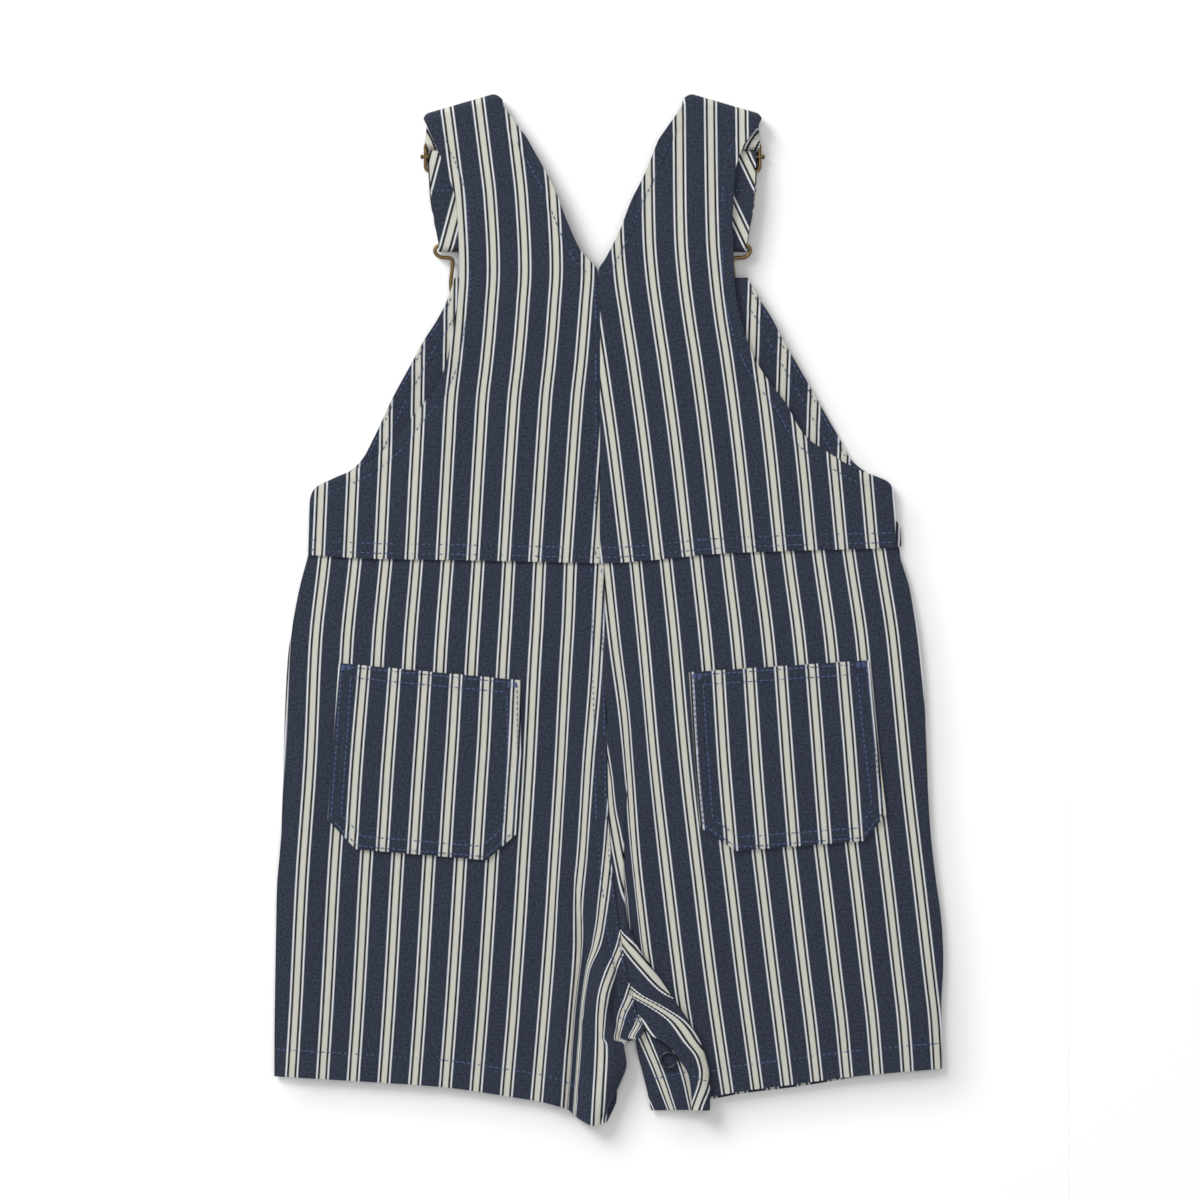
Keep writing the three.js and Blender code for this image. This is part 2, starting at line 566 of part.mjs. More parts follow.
// Button: a shallow cap, face down, with a neck up to the bib
function bibButton(side) {
  const { radius, headHeight, neckRadius, top, y } = BUTTON;
  const profile = [
    [0, 0], [radius - 1.2, 0], [radius, 0.7], [radius, headHeight - 0.5], [radius - 0.8, headHeight],
    [neckRadius, headHeight], [neckRadius, top], [0, top],
  ].map(([r, z]) => new THREE.Vector2(r, z));
  const geometry = new THREE.LatheGeometry(profile, 20);
  geometry.rotateX(Math.PI / 2).translate(GARMENT_AXIS + side * HOOK.x, y, 0);
  return joined(geometry);
}

// Ring of the snap, tilted with the cloth under it
function ringSnap() {
  const { x, y, radius, wire, tilt } = RING_SNAP;
  const row = (column) => lookUp(PLACKET, "leftY", y, column);
  const s = (x - row("leftX")) / (row("rightX") - row("leftX"));
  const cloth = mix(PLACKET_LOW, row("rightZ"), ease(s)) + TWILL / 2;
  return new THREE.TorusGeometry(radius, wire, 8, 24)
    .rotateY(-tilt)
    .translate(x, y, cloth + wire + SEAM_GAP + radius * Math.sin(tilt) * 0.6);
}
const cloth = new THREE.MeshStandardMaterial({ color: 0x363c4b, roughness: 0.9, metalness: 0 });
const brass = new THREE.MeshStandardMaterial({ color: 0x6e5a3a, roughness: 0.45, metalness: 1 });
const darkMetal = new THREE.MeshStandardMaterial({ color: 0x3a372f, roughness: 0.5, metalness: 1 });

const overalls = new THREE.Group();
function add(name, geometry, material) {
  const mesh = new THREE.Mesh(geometry, material);
  mesh.name = name;
  overalls.add(mesh);
}

add("back_bib_left", backBib(BACK_BIB_LEFT, -1), cloth);
add("back_bib_right", backBib(BACK_BIB_RIGHT, 1), cloth);
add("front_bib", frontBib(), cloth);
add("back_leg_left", backShorts(BACK_LEFT, HEM_LEFT, "leg"), cloth);
add("back_leg_right", backShorts(BACK_RIGHT, HEM_RIGHT, "seam"), cloth);
add("front_leg_left", frontShorts(FRONT_LEFT, HEM_LEFT), cloth);
add("front_leg_right", frontShorts(FRONT_RIGHT, FRONT_HEM_RIGHT), cloth);
add("back_pocket_left", pocket(POCKET_LEFT), cloth);
add("back_pocket_right", pocket(POCKET_RIGHT), cloth);
add("snap_placket", placket(), cloth);
for (const [name, side] of [["left", -1], ["right", 1]]) {
  add("slider_" + name, slider(side), brass);
  add("hook_" + name, hook(side), brass);
  add("bib_button_" + name, bibButton(side), brass);
}
add("ring_snap", ringSnap(), darkMetal);

export default overalls;
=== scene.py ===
# %% [markdown]
# Kids' bib overalls with short legs, laid flat with the back up. Lengths in the tables are millimetres, as a
# pattern cutter writes them, and one helper turns them into metres. The frame holds the solids at their real size,
# and each piece of cloth here is a finer sheet on the same outline.

# %% Frame
import math

import bmesh
import bpy
import numpy as np
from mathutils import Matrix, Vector
from mathutils.bvhtree import BVHTree


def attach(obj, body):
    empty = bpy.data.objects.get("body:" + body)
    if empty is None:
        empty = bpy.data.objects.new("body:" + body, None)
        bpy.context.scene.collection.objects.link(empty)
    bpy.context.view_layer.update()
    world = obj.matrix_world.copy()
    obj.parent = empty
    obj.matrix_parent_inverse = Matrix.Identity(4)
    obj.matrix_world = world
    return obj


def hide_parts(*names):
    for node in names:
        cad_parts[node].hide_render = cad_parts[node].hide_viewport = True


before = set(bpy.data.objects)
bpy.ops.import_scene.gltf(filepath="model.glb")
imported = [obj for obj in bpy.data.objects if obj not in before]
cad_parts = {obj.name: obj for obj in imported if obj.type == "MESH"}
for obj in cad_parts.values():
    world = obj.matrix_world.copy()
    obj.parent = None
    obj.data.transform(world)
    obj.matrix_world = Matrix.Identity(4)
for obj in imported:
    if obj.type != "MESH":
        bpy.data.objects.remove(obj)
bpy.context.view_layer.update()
MM = 0.001

# %% [markdown]
# The photograph looks straight down on the garment. A long lens far above keeps the outline free of perspective.
# The floor is plain and nearly white, a soft lamp stands at the upper left, so the garment's real shadow falls to the
# lower right, and a pale world fills it. A painted shadow in the floor's colour, made further down, widens that
# shadow.

# %% Camera, floor and light
FIELD = 0.600  # what the frame's 1200 pixels show of the floor
LENS, SENSOR = 120.0, 36.0
VIEW_CENTRE = (-0.0045, 0.00425)
CAMERA_HEIGHT = FIELD * LENS / SENSOR

bpy.ops.object.camera_add(location=(*VIEW_CENTRE, CAMERA_HEIGHT), rotation=(0, 0, 0))
camera = bpy.context.object
camera.name = "camera"
camera.data.lens = LENS
camera.data.sensor_width = SENSOR
bpy.context.scene.camera = camera


def area_lamp(name, place, size, power, aim=(0.0, 0.0, 0.0)):
    bpy.ops.object.light_add(type="AREA", location=place)
    lamp = bpy.context.object
    lamp.name = name
    lamp.data.size = size
    lamp.data.energy = power
    lamp.rotation_euler = (Vector(aim) - Vector(place)).to_track_quat("-Z", "Y").to_euler()
    return lamp


area_lamp("key", (-1.5, 1.6, 1.35), 1.1, 52.0)
area_lamp("overhead", (0.2, 0.1, 2.8), 2.4, 29.0)

scene = bpy.context.scene
scene.view_settings.view_transform = "Standard"
scene.world = bpy.data.worlds.new("studio")
scene.world.use_nodes = True
scene.world.node_tree.nodes["Background"].inputs["Color"].default_value = (1.0, 1.0, 1.0, 1.0)
scene.world.node_tree.nodes["Background"].inputs["Strength"].default_value = 0.42

bpy.ops.object.select_all(action="DESELECT")
bpy.ops.mesh.primitive_plane_add(size=6.0, location=(0, 0, -0.0002))
floor = bpy.context.object
floor.name = "floor"

# %% [markdown]
# Every material is a set of nodes. This helper starts one, and the next ones write node chains in a readable way.


# %% Node helpers
class Recipe:
    """A material and a short way to add nodes to it and join them."""

    def __init__(self, name):
        self.material = bpy.data.materials.new(name)
        self.material.use_nodes = True
        self.tree = self.material.node_tree
        self.shader = self.tree.nodes["Principled BSDF"]

    def node(self, kind, **inputs):
        made = self.tree.nodes.new(kind)
        for key, value in inputs.items():
            self.feed(made, key, value)
        return made

    def feed(self, node, key, value):
        socket = node.inputs[int(key[1:])] if key[0] == "i" and key[1:].isdigit() else node.inputs[key]
        if isinstance(value, bpy.types.NodeSocket):
            self.tree.links.new(value, socket)
        else:
            socket.default_value = value

    def math(self, operation, *values):
        made = self.node("ShaderNodeMath")
        made.operation = operation
        for k, value in enumerate(values):
            self.feed(made, f"i{k}", value)
        return made.outputs[0]

    def mix(self, factor, a, b, blend="MIX"):
        made = self.tree.nodes.new("ShaderNodeMix")
        made.data_type = "RGBA"
        made.blend_type = blend
        self.feed(made, "i0", factor)
        self.feed(made, "i6", a)
        self.feed(made, "i7", b)
        return made.outputs[2]

    def noise(self, vector, scale, detail=3.0):
        return self.node("ShaderNodeTexNoise", Vector=vector, Scale=scale, Detail=detail).outputs[0]

    def bump(self, height, strength, distance, normal=None):
        made = self.node("ShaderNodeBump", Height=height, Strength=strength, Distance=distance)
        if normal is not None:
            self.feed(made, "Normal", normal)
        return made.outputs[0]


def colour(red, green, blue):
    """A colour as a screen shows it, from 0 to 255, in the linear numbers that shaders use."""
    return tuple((c / 255 / 12.92) if c <= 10 else ((c / 255 + 0.055) / 1.055) ** 2.4
                 for c in (red, green, blue)) + (1.0,)


# The floor's colour is white, darkened by the 'shade' attribute wherever a painted shadow is laid on it.
paper = Recipe("floor_with_painted_shadow")
shade = paper.node("ShaderNodeAttribute")
shade.attribute_name = "shade"
paper.feed(paper.shader, "Base Color", paper.mix(shade.outputs["Fac"], (1.0, 1.0, 1.0, 1.0), (0.0, 0.0, 0.0, 1.0)))
paper.shader.inputs["Roughness"].default_value = 1.0
paper.shader.inputs["Specular IOR Level"].default_value = 0.0
floor.data.materials.append(paper.material)

# %% [markdown]
# The cloth is a navy cotton twill with a traditional ticking stripe. Each repeat, 15.6 mm wide, has a cream band
# with a dark line and a thin white line on either side of it. The pattern is on the piece's own UV map: u counts
# repeats across the warp and v counts them along it, so the stripes bend and close up wherever the cloth does.
# The white line is one yarn that rises and dips, so it looks like a row of dashes.

# %% Striped twill
REPEAT = 15.6  # mm from stripe to stripe
NAVY = colour(37, 42, 54)
NAVY_FLECK = colour(68, 75, 93)
NAVY_DEEP = colour(14, 17, 26)
CREAM = colour(208, 207, 197)
CREAM_SHADE = colour(180, 179, 169)
DARK_LINE = colour(2, 3, 6)
WHITE_LINE = colour(222, 225, 230)
BAND_EDGE = 0.086  # half the cream band, in repeats
WHITE_FROM, WHITE_TO = 0.155, 0.207
RIM = 0.228  # the navy beside the white line is darker out to here
RIBS = 20.0  # twill ribs in one repeat
STEPS = 14.9  # yarns along one repeat, which step the edges of the lines


def striped_twill(name):
    r = Recipe(name)
    uv = r.node("ShaderNodeUVMap").outputs[0]
    r.tree.nodes[-1].uv_map = "weave"
    parts = r.node("ShaderNodeSeparateXYZ", Vector=uv)
    u, v = parts.outputs[0], parts.outputs[1]
    steps = r.math("SINE", r.math("MULTIPLY", v, 2 * math.pi * STEPS))
    drift = r.math("MULTIPLY", r.math("SUBTRACT", r.noise(uv, 9.0, 2.0), 0.5), 0.014)
    place = r.math("ADD", r.math("ADD", u, drift), r.math("MULTIPLY", steps, 0.014))
    distance = r.math("ABSOLUTE", r.math("SUBTRACT", r.math("FRACT", r.math("ADD", place, 0.5)), 0.5))

    def inside(edge, soft=0.006):
        step = r.node("ShaderNodeMapRange", Value=distance)
        step.inputs["From Min"].default_value = edge - soft
        step.inputs["From Max"].default_value = edge + soft
        step.inputs["To Min"].default_value = 1.0
        step.inputs["To Max"].default_value = 0.0
        return step.outputs[0]

    rib = r.math("SINE", r.math("MULTIPLY", r.math("ADD", u, v), 2 * math.pi * RIBS))
    rib01 = r.math("MULTIPLY_ADD", rib, 0.5, 0.5)
    cross = r.math("SINE", r.math("MULTIPLY", r.math("SUBTRACT", r.math("MULTIPLY", u, 3.0), v), 2 * math.pi * RIBS * 0.9))
    cross01 = r.math("MULTIPLY_ADD", cross, 0.5, 0.5)
    weave = r.math("MULTIPLY", rib01, r.math("MULTIPLY_ADD", cross01, 0.4, 0.6))
    yarn = r.noise(r.node("ShaderNodeMapping", Vector=uv, Scale=(60.0, 9.0, 1.0)).outputs[0], 1.0, 4.0)
    fleck = r.noise(r.node("ShaderNodeMapping", Vector=uv, Scale=(13.0, 15.0, 1.0)).outputs[0], 1.0, 5.0)
    worn = r.noise(uv, 0.7, 3.0)
    contrast = r.node("ShaderNodeMapRange", Value=r.math("ADD", fleck, r.math("MULTIPLY", weave, 0.22)))
    contrast.inputs["From Min"].default_value = 0.38
    contrast.inputs["From Max"].default_value = 0.80
    navy = r.mix(contrast.outputs[0], NAVY_DEEP, NAVY_FLECK)
    navy = r.mix(0.42, navy, NAVY)
    navy = r.mix(r.math("MULTIPLY", worn, 0.12), navy, NAVY_FLECK)
    cream = r.mix(r.math("MULTIPLY", r.math("ADD", yarn, weave), 0.5), CREAM, CREAM_SHADE)
    cream = r.mix(r.math("MULTIPLY", fleck, 0.35), cream, CREAM_SHADE)
    dashes = r.math("MULTIPLY_ADD", steps, 0.12, 0.88)
    white = r.mix(dashes, NAVY_DEEP, WHITE_LINE)
    dark = r.mix(r.math("MULTIPLY", weave, 0.12), DARK_LINE, NAVY)
    ground = r.mix(r.math("MULTIPLY", inside(RIM), 0.8), navy, DARK_LINE)
    ground = r.mix(inside(WHITE_TO), ground, white)
    ground = r.mix(inside(WHITE_FROM), ground, dark)
    ground = r.mix(inside(BAND_EDGE), ground, cream)
    r.feed(r.shader, "Base Color", ground)
    r.shader.inputs["Roughness"].default_value = 0.92
    r.shader.inputs["Specular IOR Level"].default_value = 0.12
    r.shader.inputs["Sheen Weight"].default_value = 0.03
    r.shader.inputs["Sheen Roughness"].default_value = 0.6
    fine = r.bump(weave, 0.35, 0.00012)
    slub = r.bump(yarn, 0.22, 0.00018, fine)
    soft = r.bump(r.noise(uv, 1.6, 3.0), 0.25, 0.0012, slub)
    r.feed(r.shader, "Normal", soft)
    return r.material


twill = striped_twill("striped_twill")

# %% [markdown]
# A sheet of cloth is worked out as rows of points on its middle surface, each with its place on the pattern. The
# helper makes the mesh, gives it the thickness of the cloth, and smooths it.

# %% Cloth helpers
TWILL = 1.2
DOUBLED = 1.6


def ease(t):
    c = np.clip(t, 0.0, 1.0)
    return c * c * (3 - 2 * c)


def flowing(table, column, places, key="y"):
    """Reads a column of a table between its rows along a smooth line that never overshoots a row."""
    rows = sorted(table, key=lambda row: row[key])
    x = np.array([row[key] for row in rows], float)
    y = np.array([row[column] for row in rows], float)
    h = np.diff(x)
    slope = np.diff(y) / h
    tangent = np.zeros_like(y)
    tangent[0], tangent[-1] = slope[0], slope[-1]
    for k in range(1, len(y) - 1):
        if slope[k - 1] * slope[k] > 0:
            a, b = 2 * h[k] + h[k - 1], h[k] + 2 * h[k - 1]
            tangent[k] = (a + b) / (a / slope[k - 1] + b / slope[k])
    at = np.asarray(places, float)
    k = np.clip(np.searchsorted(x, at) - 1, 0, len(h) - 1)
    t = (at - x[k]) / h[k]
    inside = ((1 + 2 * t) * (1 - t) ** 2 * y[k] + t * (1 - t) ** 2 * h[k] * tangent[k]
              + t * t * (3 - 2 * t) * y[k + 1] + t * t * (t - 1) * h[k] * tangent[k + 1])
    below = y[0] + (at - x[0]) * tangent[0]
    above = y[-1] + (at - x[-1]) * tangent[-1]
    return np.where(at < x[0], below, np.where(at > x[-1], above, inside))


def cloth(name, points, uv, thickness=TWILL, material=None, rides="root", stands_for=()):
    """A closed sheet from a grid of middle points in mm (rows, columns, 3) and their places on the weave."""
    rows, columns = points.shape[:2]
    mesh = bpy.data.meshes.new(name)
    quads = [(i * columns + j, i * columns + j + 1, (i + 1) * columns + j + 1, (i + 1) * columns + j)
             for i in range(rows - 1) for j in range(columns - 1)]
    mesh.from_pydata((points.reshape(-1, 3) * MM).tolist(), [], quads)
    layer = mesh.uv_layers.new(name="weave")
    flat = uv.reshape(-1, 2)
    corner = np.empty(len(mesh.loops), dtype=np.int32)
    mesh.loops.foreach_get("vertex_index", corner)
    layer.data.foreach_set("uv", flat[corner].astype(np.float32).ravel())
    piece = bpy.data.objects.new(name + "_cloth", mesh)
    bpy.context.collection.objects.link(piece)
    bpy.ops.object.select_all(action="DESELECT")
    piece.select_set(True)
    bpy.context.view_layer.objects.active = piece
    bpy.ops.object.mode_set(mode="EDIT")
    bpy.ops.mesh.select_all(action="SELECT")
    bpy.ops.mesh.normals_make_consistent(inside=False)
    bpy.ops.object.mode_set(mode="OBJECT")
    thick = piece.modifiers.new("thickness", "SOLIDIFY")
    thick.thickness = thickness * MM
    thick.offset = 0.0
    thick.use_even_offset = False
    bpy.ops.object.modifier_apply(modifier=thick.name)
    bpy.ops.object.shade_smooth_by_angle(angle=math.radians(50))
    piece.data.materials.append(material or twill)
    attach(piece, rides)
    if stands_for:
        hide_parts(*stands_for)
    return piece


def sheet_area(piece):
    """Half the surface of a thin closed sheet, in square metres."""
    return sum(face.area for face in piece.data.polygons) / 2


# %% [markdown]
# The waist seam runs across the back at the height in this table, and every panel that meets it reads it here.
# Soft creases are added to each panel: each row is one trough or ridge, with its ends, its width and height.

# %% Waist and creases
SEAM_GAP = 0.3
WAIST = [dict(x=-150, y=27.3), dict(x=-117, y=25.4), dict(x=-77, y=24.8), dict(x=-31, y=23.8), dict(x=-3, y=23.2),
         dict(x=22, y=24.8), dict(x=53, y=27.8), dict(x=88, y=29.3), dict(x=143, y=30.8)]


def waist_at(x):
    return flowing(WAIST, "y", x, key="x")


def crease_height(x, y, creases):
    """Height in mm that a table of soft creases adds at each place."""
    total = np.zeros_like(x, dtype=float)
    for row in creases:
        ax, ay, bx, by = row["x0"], row["y0"], row["x1"], row["y1"]
        length = math.hypot(bx - ax, by - ay)
        ux, uy = (bx - ax) / length, (by - ay) / length
        along = (x - ax) * ux + (y - ay) * uy
        bow = row.get("bow", 0.0) * np.sin(np.pi * np.clip(along / length, 0, 1))
        across = (x - ax) * -uy + (y - ay) * ux - bow
        fade = ease(along / (0.3 * length)) * ease((length - along) / (0.3 * length))
        total += row["height"] * fade * np.exp(-(across / row["width"]) ** 2)
    return total


def hem_ridge(distance, depth, rise=0.35):
    """A turned-in edge: thicker out to the row of stitches, which pull a small groove."""
    return rise * (1 - ease((distance - depth + 0.6) / 1.2)) - 0.22 * np.exp(-((distance - depth) / 0.7) ** 2)


def pucker(along, distance, depth, size=0.10):
    """Small waves that a row of stitches draws into a hem."""
    wave = np.sin(along * 1.15) * 0.6 + np.sin(along * 0.47 + 1.3) * 0.7
    return size * wave * np.exp(-((distance - depth * 0.6) / (0.55 * depth)) ** 2)

# %% [markdown]
# A stripe's place across a panel is written down at a few heights. Between two stripes the weave is even, so the
# number of any point on the pattern follows from the two stripes on either side of it. Where the cloth tilts away
# or is drawn into a crease, the stripes lie closer together, and the tables say so.


# %% Stripes on a panel
def even_stripes(table, numbers, y, first_number=0):
    """Pairs of a stripe's number and its place in x at each height, for stripes a steady pitch apart."""
    first, pitch = flowing(table, "first", y), flowing(table, "pitch", y)
    return [(n, first + (n - first_number) * pitch) for n in numbers]


def weave_number(x, stripes):
    """The number across the pattern at x, from pairs of (stripe number, its x) in rising order."""
    number = None
    for (na, xa), (nb, xb) in zip(stripes[:-1], stripes[1:]):
        here = na + (nb - na) * (x - xa) / (xb - xa)
        number = here if number is None else np.where(x > xa, here, number)
    return number


def weave(number, y):
    return np.stack([number, y / REPEAT], axis=-1)


# %% [markdown]
# The two front panels of the shorts lie flat on the floor and show only as a thin line beside and below the back.
# They are cut like the back: a side seam, an inside leg and a turned-up hem.

# %% Front panels of the shorts
FRONT_LEFT = [dict(y=27, side=-149.5, inner=-4.7), dict(y=0, side=-155.6, inner=-4.7),
              dict(y=-25, side=-160.3, inner=-4.7), dict(y=-75, side=-162.6, inner=-4),
              dict(y=-125, side=-164, inner=-2), dict(y=-160, side=-165.6, inner=1),
              dict(y=-200, side=-166.2, inner=4), dict(y=-228, side=-166, inner=4),
              dict(y=-240, side=-166.2, inner=-1)]
FRONT_RIGHT = [dict(y=30, side=145, inner=-4.4), dict(y=0, side=150.6, inner=-4.4),
               dict(y=-25, side=155.4, inner=-4.4), dict(y=-75, side=158.8, inner=-3.7),
               dict(y=-125, side=160, inner=-1.7), dict(y=-160, side=164, inner=2),
               dict(y=-200, side=166, inner=9), dict(y=-214, side=165, inner=15),
               dict(y=-230, side=165, inner=20), dict(y=-244, side=165, inner=24)]
HEM_LEFT = [dict(x=-167, y=-233.5), dict(x=-128, y=-235.8), dict(x=-84, y=-238.8), dict(x=-52, y=-243.3),
            dict(x=-22, y=-249.4), dict(x=-14, y=-255), dict(x=-7, y=-257.8), dict(x=-3, y=-257)]
HEM_RIGHT = [dict(x=50, y=-243.8), dict(x=67, y=-240.8), dict(x=90, y=-237.8), dict(x=116, y=-234.3),
             dict(x=141, y=-231.8), dict(x=166, y=-229.8)]
FRONT_HEM_RIGHT = [dict(x=24, y=-246), dict(x=50, y=-245), dict(x=67, y=-242.2), dict(x=90, y=-239.4),
                   dict(x=112, y=-236), dict(x=141, y=-230.8), dict(x=166, y=-228.8)]


def front_shorts(name, table, hem, slope):
    top, bottom = table[0]["y"], table[-1]["y"]
    row_y = np.linspace(top, bottom, 84)[:, None]
    s = np.linspace(0, 1, 58)[None, :]
    side, inner = flowing(table, "side", row_y), flowing(table, "inner", row_y)
    x = side + (inner - side) * s
    hem_x = table[-1]["side"] + (table[-1]["inner"] - table[-1]["side"]) * s
    t = (top - row_y) / (top - bottom)
    y = waist_at(x) * (1 - t) + flowing(hem, "y", hem_x, key="x") * t
    z = np.full_like(x, TWILL / 2)
    return cloth(name, np.stack([x, y, z], -1), weave((x - slope * y) / REPEAT + 0.3, y), stands_for=[name])


front_left = front_shorts("front_leg_left", FRONT_LEFT, HEM_LEFT, 0.06)
front_right = front_shorts("front_leg_right", FRONT_RIGHT, FRONT_HEM_RIGHT, -0.1)
for piece in (front_left, front_right):
    print(piece.name, "cut area in m2:", round(sheet_area(piece), 4))

# %% [markdown]
# The left back panel of the shorts. From the side seam it rises onto the seat. Near the inside leg it goes down
# into a long crease, then stands up as a round roll that ends at the fold, and a small tongue of it reaches the
# centre seam beyond that. A grid over the outline with a height at each point gives all of this.

# %% Left back panel
SEAT_LOFT = 1.0
SIDE_ROLL = 6.0
SEAT = TWILL + SEAM_GAP + TWILL / 2  # middle of the back's cloth at the side seam
BACK_LEFT = [
    dict(y=23, side=-150, crease=-30, fold=-14, inner=-2.8, lift=0, seam_lift=0),
    dict(y=0, side=-155.3, crease=-30, fold=-14, inner=-2.4, lift=0, seam_lift=0),
    dict(y=-25, side=-158.9, crease=-29, fold=-14, inner=-2.1, lift=0, seam_lift=0),
    dict(y=-50, side=-160, crease=-28, fold=-14, inner=-1.6, lift=0, seam_lift=0),
    dict(y=-75, side=-161, crease=-27, fold=-13, inner=-1.1, lift=0, seam_lift=0),
    dict(y=-100, side=-162, crease=-25, fold=-12, inner=-0.5, lift=0, seam_lift=0.2),
    dict(y=-120, side=-163, crease=-22, fold=-10, inner=0.7, lift=0.3, seam_lift=0.5),
    dict(y=-140, side=-164.5, crease=-18, fold=-8, inner=2.7, lift=0.8, seam_lift=0.8),
    dict(y=-155, side=-165.7, crease=-14.5, fold=-5, inner=4.7, lift=1.6, seam_lift=1),
    dict(y=-168, side=-166, crease=-12.5, fold=-1, inner=6.3, lift=2.6, seam_lift=1.2),
    dict(y=-180, side=-166.2, crease=-12.5, fold=2.3, inner=8.7, lift=3.6, seam_lift=1.2),
    dict(y=-192, side=-166.4, crease=-14, fold=1, inner=11.3, lift=4.4, seam_lift=0.9),
    dict(y=-199, side=-166.5, crease=-15, fold=-0.8, inner=13.2, lift=4.6, seam_lift=0.5),
    dict(y=-205, side=-166.6, crease=-15.8, fold=0.8, inner=15.7, lift=4.6, seam_lift=0.5),
    dict(y=-211, side=-166.7, crease=-16.2, fold=3.4, inner=17.6, lift=4.6, seam_lift=0.6),
    dict(y=-214, side=-166.7, crease=-16.4, fold=4.4, inner=15.5, lift=4.6, seam_lift=2),
    dict(y=-217, side=-166.8, crease=-16.6, fold=5.3, inner=7.4, lift=4.6, seam_lift=3.2),
    dict(y=-227, side=-166.9, crease=-17, fold=6.6, inner=8.8, lift=4.4, seam_lift=2.8),
    dict(y=-237, side=-167, crease=-17.5, fold=3.2, inner=5.5, lift=4.2, seam_lift=2.6),
    dict(y=-247, side=-167, crease=-18.5, fold=-2, inner=0.6, lift=4, seam_lift=2.4),
    dict(y=-257, side=-167, crease=-19.5, fold=-5.6, inner=-3, lift=4, seam_lift=2.4),
]
STRIPES_LEFT = [dict(y=20, first=-142.5, pitch=15.4), dict(y=-16, first=-146.4, pitch=15.7),
                dict(y=-76, first=-149.1, pitch=15.64), dict(y=-136, first=-153.2, pitch=15.7),
                dict(y=-196, first=-156.2, pitch=15.55), dict(y=-240, first=-158.8, pitch=15.4)]
# Near the seam the pattern is drawn into the crease. past_tenth is the place of number 10.3, just out of the crease.
STRIPES_LEFT_SEAM = [
    dict(y=20, ninth=-3.9, tenth=11.7, past_tenth=16.4, eleventh=27.3, twelfth=42.9),
    dict(y=-36, ninth=-7.1, tenth=8.4, past_tenth=13.1, eleventh=24, twelfth=39.6),
    dict(y=-76, ninth=-10.4, tenth=4.6, past_tenth=9.3, eleventh=20, twelfth=35.6),
    dict(y=-106, ninth=-12.2, tenth=0.9, past_tenth=5.6, eleventh=16.4, twelfth=32),
    dict(y=-120, ninth=-13.1, tenth=-0.3, past_tenth=4.2, eleventh=14.6, twelfth=30),
    dict(y=-148, ninth=-15.2, tenth=-3.4, past_tenth=0.9, eleventh=10.6, twelfth=25.6),
    dict(y=-168, ninth=-14.9, tenth=-6.6, past_tenth=-3, eleventh=6.2, twelfth=20),
    dict(y=-180, ninth=-15.5, tenth=-10.3, past_tenth=-8.6, eleventh=1.1, twelfth=15.2),
    dict(y=-194, ninth=-16.8, tenth=-12.4, past_tenth=-11.4, eleventh=-3.2, twelfth=10.4),
    dict(y=-203, ninth=-17.6, tenth=-13.4, past_tenth=-12.5, eleventh=-3.9, twelfth=6.4),
    dict(y=-209, ninth=-18.1, tenth=-13.9, past_tenth=-13, eleventh=-3.9, twelfth=5),
    dict(y=-214.5, ninth=-18.5, tenth=-14.3, past_tenth=-13.4, eleventh=-3.9, twelfth=3.6),
    dict(y=-217, ninth=-18.8, tenth=-14.6, past_tenth=-13.6, eleventh=-3.9, twelfth=11.4),
    dict(y=-222, ninth=-19.2, tenth=-15, past_tenth=-14, eleventh=-4, twelfth=12.6),
    dict(y=-256, ninth=-21.6, tenth=-17, past_tenth=-16, eleventh=-6.1, twelfth=9),
]
SEAT_CREASES = [
    dict(x0=-60, y0=-170, x1=-30, y1=-240, width=9, height=-0.8, bow=2),
    dict(x0=-82, y0=-128, x1=-70, y1=-238, width=12, height=0.6),
    dict(x0=-120, y0=-128, x1=-124, y1=-234, width=9, height=-0.5),
    dict(x0=-150, y0=-40, x1=-152, y1=-200, width=7, height=0.5),
    dict(x0=-24, y0=-20, x1=-24, y1=-130, width=6, height=-0.5),
    dict(x0=-90, y0=22, x1=-96, y1=-30, width=8, height=-0.45),
    dict(x0=-30, y0=20, x1=-38, y1=-60, width=7, height=0.4),
]


def slope_columns(side, crease, fold, inner):
    """Columns across a panel: even over the seat, closer where the cloth turns into the crease and the fold."""
    seat = np.linspace(0, 1, 60)[:-1]
    flank = np.linspace(0, 1, 13)[:-1]
    edge = np.linspace(0, 1, 11)
    return np.concatenate([side + (crease - side) * seat, crease + (fold - crease) * flank,
                           fold + (inner - fold) * edge], axis=1)


